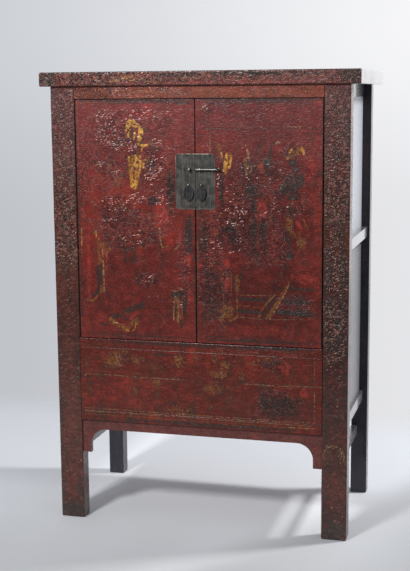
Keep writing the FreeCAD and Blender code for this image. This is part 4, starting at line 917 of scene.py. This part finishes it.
def painted_lacquer(name, ground, patch, umber, patchy, streaky, depth=1.0, painted=True, crazed=True, shine=0.26,
                    coat=0.3, coat_rough=0.14, level=0.5, hair=1.0, rub=0.2, painted_sheen=0.0):
    """Old lacquer on a modelled surface: mottled colour, darkened in the dim patches, which are partly darker lacquer
    and partly painted shade, then brush work, then the cracks over both, and a painted pale sheen, standing in for
    reflected light, on what is high up."""
    material, n, shader = new_material(name)
    place = n.place()
    colour = n.group(mottle, Place=place, Ground=shade(*ground), Patch=shade(*patch), Umber=shade(*umber),
                     Patchy=patchy, Streaky=streaky, Hair=hair)
    # The dim mark darkens the colour in patches: partly darker lacquer, partly painted shade where the light falls off.
    laid = n.mix(n.times(n.mark("dim"), 0.46), colour.outputs["Color"], shade(20, 12, 12))
    if painted:
        brush = n.group(brushwork, Place=place, Ground=laid, Gilt=n.mark("gilt"), Ink=n.mark("ink"),
                        Fire=n.mark("fire"), Tan=n.mark("tan"), Ochre=n.mark("ochre"))
        laid = brush.outputs["Color"]
        n.put(shader, Metallic=n.times(brush.outputs["Gold"], 0.3))
    marks = {label.title(): n.mark(label) for label in ("craze", "relief", "seam", "wear") if crazed} or {"Relief": 0.5}
    # rub lightens the ridges, as rubbed wear and as painted highlight; the dark tone in the hollows is dirt and painted
    # shade.
    lifted = n.group(cracked, Place=place, Ground=laid, Depth=depth, Fleck=colour.outputs["Fleck"],
                     Dirt=shade(34, 24, 21), Shine=shine, Rub=rub, **marks)
    # Painted sheen: the colour turns paler and pinker towards the top, as reflected light.
    painted_sheen_mask = n.between(n.axes(place)["Z"], 1.2, 1.62, 0.0, painted_sheen)
    n.put(shader, Base_Color=n.mix(painted_sheen_mask, lifted.outputs["Color"], shade(150, 106, 110)),
          Roughness=lifted.outputs["Roughness"], Coat_Weight=coat, Coat_Roughness=coat_rough,
          Specular_IOR_Level=level, Normal=bump(n, lifted.outputs["Height"], 1.0, 0.001))
    return material


def black_lacquer(name, tone, tint, rough_low, rough_high, wood_way=(1.0, 1.0, 0.12), coat_rough=0.1, coat_index=1.35,
                  grazing_sheen=0.0, coat=1.0, grain_dark=(20, 17, 17)):
    """Black lacquer over wood: the grain shows in the surface, brown wood where it is rubbed through, pale scratches,
    and a painted pale sheen at a grazing view, standing in for reflected light."""
    material, n, shader = new_material(name)
    place = n.place()
    drawn_out = n.stretched(place, wood_way)
    colour = n.group(mottle, Place=place, Ground=shade(*tone), Patch=shade(*tint), Umber=shade(16, 14, 15),
                     Patchy=0.5, Streaky=0.5, Hair=1.0)
    wood = n.group(grain, Place=drawn_out, Light=colour.outputs["Color"], Dark=shade(*grain_dark)).outputs
    rubbed = n.plus(n.noise(place, 4.0, 6.0, 0.72), n.times(wood["Height"], 0.6))
    rubbed = n.between(rubbed, 0.86, 1.02, 0.0, 0.6)
    worn = n.mix(rubbed, wood["Color"], shade(84, 60, 46))
    scratch = n.between(n.noise(drawn_out, 170.0, 2.0, 0.5), 0.66, 0.76, 0.0, 0.4)
    worn = n.mix(scratch, worn, shade(112, 102, 94))
    # Painted reflection: the colour turns pale at a grazing view; the shader's sheen takes the same amount.
    painted_grazing_sheen = n.between(n.add("LayerWeight").outputs["Facing"], 0.55, 0.95, 0.0, grazing_sheen)
    dull = n.between(n.noise(place, 9.0, 5.0, 0.6), 0.3, 0.7, rough_low, rough_high)
    n.put(shader, Base_Color=n.mix(painted_grazing_sheen, worn, shade(226, 229, 238)), Roughness=n.plus(dull, n.times(rubbed, 0.3)),
          Normal=bump(n, wood["Height"], 0.2, 0.0006), Specular_IOR_Level=0.25, Coat_Weight=coat,
          Coat_Roughness=coat_rough, Coat_IOR=coat_index, Sheen_Weight=grazing_sheen, Sheen_Roughness=0.3,
          Sheen_Tint=(0.94, 0.97, 1.0, 1.0))
    return material


def bare_wood(name, light, dark, wood_way):
    """Dry planed wood, darkened with age."""
    material, n, shader = new_material(name)
    place = n.place()
    wood = n.group(grain, Place=n.stretched(place, wood_way), Light=shade(*light), Dark=shade(*dark)).outputs
    stain = n.noise(place, 5.0, 5.0, 0.6)
    n.put(shader, Base_Color=n.mix(n.between(stain, 0.5, 0.72, 0.0, 0.55), wood["Color"], shade(48, 34, 26)),
          Roughness=n.between(stain, 0.3, 0.7, 0.62, 0.82), Normal=bump(n, wood["Height"], 0.45, 0.0008))
    return material


def aged_bronze(name, dark, light, rub, shine, rough, rimmed=0.0):
    """Green-grey patina, rubbed in upright streaks, with small pits; on a rimmed plate the edge is paler, as rubbed
    metal and as painted highlight that is strongest along the top.
    """
    material, n, shader = new_material(name)
    place = n.place()
    cloud = n.noise(place, 45.0, 6.0, 0.65)
    streak = n.noise(place, 150.0, 5.0, 0.7, (1.0, 1.0, 0.12))
    pit = n.noise(place, 500.0, 3.0, 0.6)
    colour = n.mix(n.between(cloud, 0.35, 0.68), shade(*dark), shade(*light))
    colour = n.mix(n.times(n.between(streak, 0.46, 0.7), 0.55), colour, shade(*rub))
    colour = n.mix(n.between(n.plus(pit, n.times(streak, -0.4)), 0.34, 0.5, 0.0, 0.5), colour, shade(40, 42, 40))
    if rimmed:
        # A pale edge: rubbed metal, and painted highlight that grows towards the top of the plate.
        rim = n.times(n.between(n.mark("edge"), 3.4, 0.8), n.between(n.noise(place, 30.0, 3.0, 0.6), 0.4, 0.6))
        rim = n.times(rim, n.between(n.axes(place)["Z"], 1.33, 1.41, 0.3, 1.0))
        colour = n.mix(n.times(rim, rimmed), colour, shade(190, 176, 164))
        stain = n.noise(place, 16.0, 5.0, 0.7)
        colour = n.mix(n.between(stain, 0.5, 0.68, 0.0, 0.6), colour, shade(58, 66, 58))
        colour = n.mix(n.between(stain, 0.44, 0.3, 0.0, 0.5), colour, shade(118, 104, 98))
    relief = n.plus(n.times(pit, 0.4), n.plus(cloud, streak))
    n.put(shader, Base_Color=colour, Metallic=shine, Roughness=n.between(cloud, 0.3, 0.7, rough, rough + 0.2),
          Normal=bump(n, relief, 0.3, 0.0006))
    return material


DOOR_TONES = ((116, 40, 33), (136, 44, 34), (74, 39, 32))
LONG_TONES = ((36, 32, 33), (54, 42, 38))
DRY_TONES = ((150, 112, 76), (96, 66, 42))
ALONG_X, ALONG_Y, ALONG_Z = (0.12, 1.0, 1.0), (1.0, 0.12, 1.0), (1.0, 1.0, 0.12)
PLAIN = {"painted": False, "crazed": False}
# Lacquer takes the tones of ground, patch and umber, the shares of patch and umber, and the depth of its cracks.
# Black lacquer takes two tones and its least and most roughness.
finish = {
    "door": painted_lacquer("oxblood_door", *DOOR_TONES, 0.45, 0.46, level=0.34, coat=0.15, hair=0.4, rub=0.16,
                            painted_sheen=0.12),
    # Flakes take paler tones than the lacquer beside them: a painted highlight on the lifted flakes, besides the glints
    # that their tilt catches.
    "door_flake": painted_lacquer("oxblood_flake_painted_highlight", (182, 118, 106), (200, 138, 124), (128, 82, 74), 0.45, 0.5,
                                  crazed=False, shine=0.34, coat=0.22, coat_rough=0.26),
    "post": painted_lacquer("umber_post", (88, 44, 35), (106, 41, 31), (56, 42, 35), 0.42, 0.56, 0.85, level=0.35,
                            rub=0.42, painted_sheen=0.14),
    # The flakes on posts and top are paler too: a painted highlight.
    "post_flake": painted_lacquer("umber_flake_painted_highlight", (134, 98, 76), (150, 100, 70), (96, 74, 60), 0.42, 0.6,
                                  crazed=False, shine=0.4, coat=0.14, coat_rough=0.3),
    "top_edge": painted_lacquer("umber_top_edge", (120, 66, 59), (142, 58, 48), (74, 56, 50), 0.42, 0.5, rub=0.5),
    "rail": painted_lacquer("orange_rail", (132, 66, 50), (150, 72, 52), (98, 60, 50), 0.5, 0.5, 0.9),
    "field": painted_lacquer("faded_field", (98, 34, 26), (120, 40, 28), (66, 42, 32), 0.45, 0.55, 0.9, level=0.3,
                             coat=0.1),
    "apron": painted_lacquer("red_brown_apron", (102, 54, 50), (116, 58, 51), (80, 52, 46), 0.4, 0.5, 0.5, **PLAIN,
                             level=0.3, coat=0.1),
    # The doors' own edges and backs are dark brown-black, which also paints shadow in the gaps round the doors.
    "edge": painted_lacquer("dark_door_edge", (34, 22, 19), (42, 24, 20), (26, 20, 18), 0.4, 0.5, 0.5, **PLAIN,
                            shine=0.5, coat=0.0),
    "black": black_lacquer("black_lacquer", (58, 57, 66), (68, 63, 67), 0.3, 0.42, coat=0.5, grain_dark=(48, 47, 56)),
    "black_long": black_lacquer("black_lacquer_long", *LONG_TONES, 0.22, 0.36, ALONG_X),
    "black_deep": black_lacquer("black_lacquer_deep", *LONG_TONES, 0.22, 0.36, ALONG_Y, grazing_sheen=0.16),
    "side_panel": black_lacquer("black_lacquer_panel", (40, 36, 38), (56, 44, 40), 0.4, 0.5, coat_rough=0.42,
                                coat_index=1.45, grazing_sheen=0.8),
    "low_panel": black_lacquer("black_lacquer_low_panel", (38, 34, 36), (54, 42, 38), 0.4, 0.5, coat_rough=0.42,
                               grazing_sheen=0.24),
    "wood_x": bare_wood("dry_wood_across", *DRY_TONES, ALONG_X),
    "wood_y": bare_wood("dry_wood_deep", *DRY_TONES, ALONG_Y),
    "wood_z": bare_wood("dry_wood_upright", (112, 72, 54), (70, 44, 34), ALONG_Z),
    "plate": aged_bronze("patina_plate", (54, 56, 51), (88, 82, 78), (124, 114, 106), 0.35, 0.4, 0.75),
    "fitting": aged_bronze("rubbed_fitting", (84, 84, 82), (128, 126, 120), (170, 166, 158), 0.75, 0.24),
    "pull": aged_bronze("dark_pull", (42, 44, 46), (60, 60, 62), (112, 108, 102), 0.5, 0.3),
}

# CAD nodes keep their shape and take the finish of the first word that their name holds
FINISH_BY_WORD = (
    ("front_apron", "apron"), ("shelf", "wood_x"), ("bottom_boards", "wood_x"), ("floor_bearers", "wood_x"),
    ("floor_", "wood_y"), ("top_battens", "wood_y"), ("top_panel", "black_long"), ("lock_pin", "fitting"),
    ("staple", "fitting"), ("eye", "fitting"), ("_pull", "pull"), ("plate", "plate"), ("door_panel", "wood_z"),
    ("door_battens", "wood_z"), ("_door_", "edge"), ("lower_side_panel", "low_panel"), ("_side_panel", "side_panel"),
    ("side_", "black_deep"), ("_end", "black_deep"), ("rear_member", "black_long"), ("rear_top_rail", "black_long"),
    ("rear_mid_rail", "black_long"), ("rear_low_rail", "black_long"), ("", "black"),
)
for name, node in nodes.items():
    node.data.materials.clear()
    node.data.materials.append(finish[next(look for word, look in FINISH_BY_WORD if word in name)])

# Front posts: wrinkled lacquer on the front and both sides
FRONT_ONLY = (1.0, 0.0, 0.0, 0.0)
# Each post's last entry lists darkened patches: partly darker lacquer, partly painted shade, heaviest low on the right
# post.
for side_name, seed, spots, curls, dim in (
        ("left", 11, "-512 1560 80 160 1; -512 1360 60 130 .6; -512 1190 70 80 1; -512 1060 60 100 .8",
         [curl(-508, 1190, 34, 60, 300), curl(-508, 1192, 20, 200, 300, 0.5), curl(-516, 1134, 22, 20, 260),
          curl(-500, 1078, 26, 180, 250, 0.6), curl(-520, 1030, 20, 90, 250, 0.6)],
         "-512 700 80 200 .5; -512 40 80 60 .5"),
        ("right", 12, "512 1420 80 330 1; 512 1010 60 120 .6; 512 800 60 160 .7",
         [curl(506, 1352, 30, 200, 200), curl(516, 1262, 26, 30, 220, 0.7)],
         "512 800 80 420 1.15; 512 60 80 160 .9; 512 400 80 200 .7")):
    low, high = box_mm(f"front_{side_name}_post")
    spots = table(spots)
    post = lacquered_bar(
        f"{side_name}_post_lacquered", Z, (low, (high[0], high[1], UNDER_TOP)), 4.5,
        aged_face(seed, spots, 0.3, (1.0, 0.55, 0.0, 0.55), 9.0, paint_post, wide="round", curls=curls, dim=table(dim)),
        fine=(True, True, False, True), end_round=6.0)
    dress(post, "carcase", "brown_red_lacquer", finish["post"], f"front_{side_name}_post")
    flakes = lifted_flakes(f"{side_name}_post_flakes", (low[0] + 5, high[0] - 5, 60, 1655), POST_FRONT, spots,
                           seed + 70, paint_post, cell=6.0, base=0.05, share=0.36, long=6.5, wide=2.2, lean=36.0,
                           high=1.4)
    dress(flakes, "carcase", "brown_red_lacquer", finish["post_flake"])

# Top frame: the front member, wrinkled on its front
low, high = box_mm("top_front_member")
front_member = lacquered_bar(
    "top_front_lacquered", X, (low, high), 5.0,
    aged_face(21, table("-420 1690 200 60 1; 0 1700 620 40 .8"), 0.6, (1.0, 0.3, 0.0, 0.3), 9.5, paint_top_edge,
              wide="along_x", hollow=1.6,
              curls=[curl(-498, 1690, 20, 20, 300, 0.4), curl(-456, 1688, 14, 120, 280, 0.5),
                     curl(-250, 1686, 16, 200, 240, 0.5)]),
    end_round=1.0, mitre=1.0)
dress(front_member, "carcase", "brown_red_lacquer", finish["top_edge"], "top_front_member")
flakes = lifted_flakes(
    "top_front_flakes", (low[0] + 3, high[0] - 3, 1666, 1711), TOP_FRONT,
    table("-570 1690 50 40 1; -440 1694 130 30 .7; -230 1694 120 24 .7; 20 1700 160 16 .6; 330 1700 200 16 .6"),
    77, paint_top_edge, cell=6.0, base=0.1, share=0.4, long=6.0, wide=2.2, lean=40.0, high=0.85)
dress(flakes, "carcase", "brown_red_lacquer", finish["post_flake"])

# Rails and boards of the front: node, heights, finish, seed, crazed spots, craze elsewhere, wrinkle size, painter
for node_name, z0, z1, look, seed, spots, base, size, painter in (
        ("front_top_rail", 1616, 1662, "rail", 23, "-400 1640 120 40 .8; -200 1640 200 40 .5", 0.25, 8.0,
         paint_top_rail),
        ("door_sill_rail", 684, 718, "field", 24, "250 700 260 30 .4", 0.3, 8.0, paint_lower_boards),
        ("upper_front_board", 576, 684, "field", 25, "290 650 60 40 .7", 0.22, 7.5, paint_lower_boards),
        ("lower_front_board", 437, 576, "field", 26, "300 500 95 66 1", 0.22, 7.5, paint_lower_boards),
        ("front_bottom_rail", 398, 437, "field", 27, "0 410 500 24 .4", 0.3, 8.0, paint_lower_boards)):
    skin = lacquered_bar(
        node_name + "_lacquer", X, ((-HALF_BAY, BOARD_SKIN[0], z0 + 0.1), (HALF_BAY, BOARD_SKIN[1], z1 - 0.1)), 0.5,
        aged_face(seed, table(spots), base, FRONT_ONLY, size, painter, hollow=0.3, swell_height=0.12), end_round=0.3)
    dress(skin, "carcase", "brown_red_lacquer" if look == "rail" else "red_lacquer", finish[look])

# Doors: one lacquered face over the frame and panel of each, with lifted flakes on it, and half of the lock plate.
# The tables of crazed, flaked and darkened patches give middle x, middle z, half width, half height and strength.
LEFT_SPOTS = table("""
    -330 1430 150 170 .7; -110 1330 110 150 .6; -250 1150 220 80 .5; -50 1000 40 200 .5; -320 1500 90 90 1.1;
    -250 1440 60 60 1.1; -160 1360 80 110 1; -440 1330 30 160 .8; -310 1225 90 44 1; -180 1250 60 30 .7;
    -150 1510 100 60 .7; -270 1110 120 70 .7; -200 950 50 30 .9; -60 890 40 60 .7; -330 1180 60 30 .9;
    -98 1300 22 100 1""")
RIGHT_SPOTS = table("""
    170 1150 180 110 .7; 60 950 70 240 .6; 260 1330 180 90 .42; 150 1180 110 110 1; 170 1270 90 60 .7;
    345 1260 70 90 .8; 45 1000 50 220 .9; 92 1310 18 120 1; 240 1350 110 60 .7; 70 900 60 120 .7; 370 1430 60 40 .7;
    130 1120 70 60 1; 60 1580 60 30 .6; 370 870 90 60 .5; 250 1080 120 90 .6""")
LEFT_FLAKES = table("""
    -340 1555 46 26 .9; -360 1500 34 44 1; -310 1535 60 26 .6; -290 1455 52 22 1.1; -320 1480 60 40 .6;
    -285 1440 40 14 .8; -240 1446 24 20 .8; -200 1560 100 24 .4; -165 1360 40 60 .75; -436 1370 10 30 1;
    -436 1262 10 30 .9; -365 1382 24 12 .8; -310 1350 20 14 .8; -320 1240 50 14 .8; -230 1250 60 20 .5;
    -300 1212 60 14 .6; -340 1172 40 8 .9; -240 1110 50 30 .2; -190 955 30 16 .5; -130 1260 30 50 .25;
    -150 1450 16 26 .5; -170 880 20 14 .3; -64 880 24 40 .12""")
RIGHT_FLAKES = table("""
    150 1215 50 16 .8; 130 1180 60 24 .35; 84 1320 6 50 .8; 30 1586 12 10 .8; 140 1270 50 40 .16; 45 1010 30 180 .05;
    240 1350 90 60 .08; 300 1458 12 8 .7; 290 1230 120 50 .07; 140 1165 14 8 .9; 110 1090 70 40 .16;
    450 1400 5 160 .3""")
# Darkened patches for the dim mark: partly darker lacquer, partly painted shade.
LEFT_DIM = table("-240 880 280 190 .7; -200 1100 240 100 .5; -40 1000 40 200 .6")
RIGHT_DIM = table("""
    230 1530 260 110 .7; 80 1380 120 120 .5; 70 780 120 60 .5; 240 900 280 200 1.1; 240 1130 250 160 1.05;
    250 1330 230 110 1""")
PLATE_BOX = (-80.0, 1214.0, 72.0, 1419.0)
for side_name, x0, x1, seed, seam_x, outer, split, spots, shells, dim, painter in (
        ("left", -463, -5.4, 31, -42, -79.0, -4.4, LEFT_SPOTS, LEFT_FLAKES, LEFT_DIM, paint_left_door),
        ("right", -2.6, 463, 32, 34, 71.0, -3.6, RIGHT_SPOTS, RIGHT_FLAKES, RIGHT_DIM, paint_right_door)):
    body = f"{side_name}_door"
    seams = [[(seam_x, 740), (seam_x, 1590)], [(x0, 737), (x1, 738)]]
    door = lacquered_bar(
        body + "_face", Z, ((x0, DOOR_SKIN[0], DOOR_LOW), (x1, DOOR_SKIN[1], DOOR_HIGH)), 0.9,
        aged_face(seed, spots, 0.3, FRONT_ONLY, 9.5, painter, seams, hollow=0.6, swell_height=0.3, flat=(PLATE_BOX,),
                  dim=dim),
        end_round=0.9)
    dress(door, body, "red_lacquer", finish["door"])
    flakes = lifted_flakes(body + "_flakes", (max(x0, -434) + 6, min(x1, 434) - 6, 730, 1604), DOOR_FRONT, shells,
                           seed + 90, painter, share=0.7, long=9.5, wide=2.5, bare=((-86, 1208, 78, 1425),))
    dress(flakes, body, "red_lacquer", finish["door_flake"])
    plate = rimmed_plate(f"{side_name}_plate_rimmed", outer, split, 1215.0, 1418.0, 12.0, seed + 60)
    dress(plate, body, "bronze", finish["plate"], f"{side_name}_lock_plate")


# Floor, light and camera

def make_floor():
    """A flat round floor: rings whose radius is the reach times the square of their share. Its grey carries painted
    light and shade: lighter towards the back, darker in front, near right and far left. It fades away far from the
    middle, so that the backdrop has no edge."""
    rings, around = 39, 96
    reach = FLOOR_REACH * np.linspace(0.0, 1.0, rings + 1)[1:] ** 2
    turn = np.linspace(0.0, 2.0 * math.pi, around, endpoint=False)
    x, y = reach[:, None] * np.cos(turn), reach[:, None] * np.sin(turn)
    points = np.stack([x, y, np.zeros(x.shape)], -1).reshape(-1, 3).tolist() + [[0, 0, 0]]
    quads, fans = tube_faces(rings, around)
    mesh = bpy.data.meshes.new("floor")
    mesh.from_pydata(points, [], quads[:, ::-1].tolist() + fans[:around, ::-1].tolist())
    floor = bpy.data.objects.new("floor", mesh)
    bpy.context.scene.collection.objects.link(floor)
    material, n, shader = new_material("studio_floor")
    place = n.place()
    across, deep = n.axes(place)["X"], n.axes(place)["Y"]
    # Painted light and shade: the floor lighter towards the back and darker in front.
    soft = n.plus(n.toward(place, (0.15, 1.0, 0.0)), n.times(n.noise(place, 2.2, 3.0, 0.5), 0.3))
    ground = n.mix(n.between(soft, -1.4, 0.5), shade(172, 174, 175), shade(228, 230, 234))
    # Painted shade near right, where the window lamp lights the floor most.
    painted_shade_near_right = n.times(n.between(across, 0.45, 1.3), n.between(deep, 0.9, -0.4))
    ground = n.mix(painted_shade_near_right, ground, shade(156, 158, 160))
    # Painted shade further right, along a slant.
    slant = n.minus(across, n.times(deep, 0.6))
    ground = n.dim(ground, n.between(slant, 0.34, 0.64, 1.0, 0.7))
    # Painted shade far left.
    painted_shade_far_left = n.times(n.between(across, -0.45, -0.75), n.between(deep, -0.2, 0.35))
    ground = n.dim(ground, n.between(painted_shade_far_left, 0.0, 1.0, 1.0, 0.77))
    n.put(shader, Base_Color=ground, Roughness=0.8)
    from_middle = n.put(n.add("VectorMath", operation="LENGTH"), place).outputs["Value"]
    gone = n.math("MAXIMUM", n.between(from_middle, 1.9, 4.2), n.between(deep, 0.95, 1.6))
    mixer = n.put(n.add("MixShader"), gone, shader.outputs[0], n.add("BsdfTransparent").outputs[0])
    n.put(material.node_tree.nodes["Material Output"], Surface=mixer.outputs[0])
    mesh.materials.append(material)


def make_world():
    """Pale all round for the camera and for reflections, brighter to the right and behind, and an even light."""
    world = bpy.data.worlds.new("studio")
    bpy.context.scene.world = world
    world.use_nodes = True
    n = Tree(world.node_tree)
    way = n.add("TexCoord").outputs["Generated"]
    backdrop = n.mix(n.between(n.toward(way, (0.9, 0.43, 0.0)), -0.05, 0.4), shade(204, 207, 213), shade(248, 248, 250))
    backdrop = n.dim(backdrop, n.between(n.axes(way)["Z"], -0.12, 0.06, 0.85, 1.0))
    mirror = n.mix(n.between(n.axes(way)["Y"], -0.6, 0.6), shade(70, 72, 78), backdrop)
    path = n.add("LightPath").outputs
    seen = n.put(n.add("Background"), Color=n.mix(path["Is Camera Ray"], mirror, backdrop))
    even = n.put(n.add("Background"), Color=(0.95, 0.98, 1.05, 1.0), Strength=0.5)
    direct = n.math("MAXIMUM", path["Is Camera Ray"], path["Is Glossy Ray"])
    direct = n.math("MAXIMUM", direct, path["Is Transmission Ray"])
    mixer = n.put(n.add("MixShader"), direct, even.outputs[0], seen.outputs[0])
    n.put(world.node_tree.nodes.get("World Output") or n.add("OutputWorld"), Surface=mixer.outputs[0])


def softbox(name, place, aim, size, watts):
    """A square lamp that faces the aim point."""
    lamp = bpy.data.lights.new(name, "AREA")
    lamp.shape, lamp.size, lamp.energy = "SQUARE", size, watts
    thing = bpy.data.objects.new(name, lamp)
    thing.location = place
    thing.rotation_mode = "QUATERNION"
    thing.rotation_quaternion = (Vector(aim) - Vector(place)).to_track_quat("-Z", "Y")
    bpy.context.scene.collection.objects.link(thing)


def make_camera():
    """The photograph's viewpoint: from the right, at eye height, looking a little down."""
    camera = bpy.data.cameras.new("camera")
    camera.lens, camera.sensor_width = 74.24, 36.0
    camera.clip_start, camera.clip_end = 0.05, 100.0
    thing = bpy.data.objects.new("camera", camera)
    yaw, pitch, roll = (math.radians(angle) for angle in (15.31, 9.23, -0.457))
    ahead = Vector((-math.sin(yaw) * math.cos(pitch), math.cos(yaw) * math.cos(pitch), -math.sin(pitch)))
    level = ahead.cross(Vector((0, 0, 1))).normalized()
    lift = level.cross(ahead)
    right = level * math.cos(roll) + lift * math.sin(roll)
    up = lift * math.cos(roll) - level * math.sin(roll)
    turn = Matrix((right, up, -ahead)).transposed()
    thing.matrix_world = Matrix.Translation((1.1566, -4.4124, 1.6301)) @ turn.to_4x4()
    bpy.context.scene.collection.objects.link(thing)
    bpy.context.scene.camera = thing


make_floor()
make_world()
softbox("window", (2.75, 1.0, 3.85), (0.0, 0.0, 0.6), 0.5, 140.0)
softbox("front_softbox", (-1.35, -4.2, 4.1), (0.0, 0.0, 0.8), 0.7, 190.0)
softbox("side_card", (1.9, 5.4, 1.3), (0.5, 0.0, 1.0), 2.6, 6.5)
make_camera()
bpy.context.scene.view_settings.view_transform = "Standard"
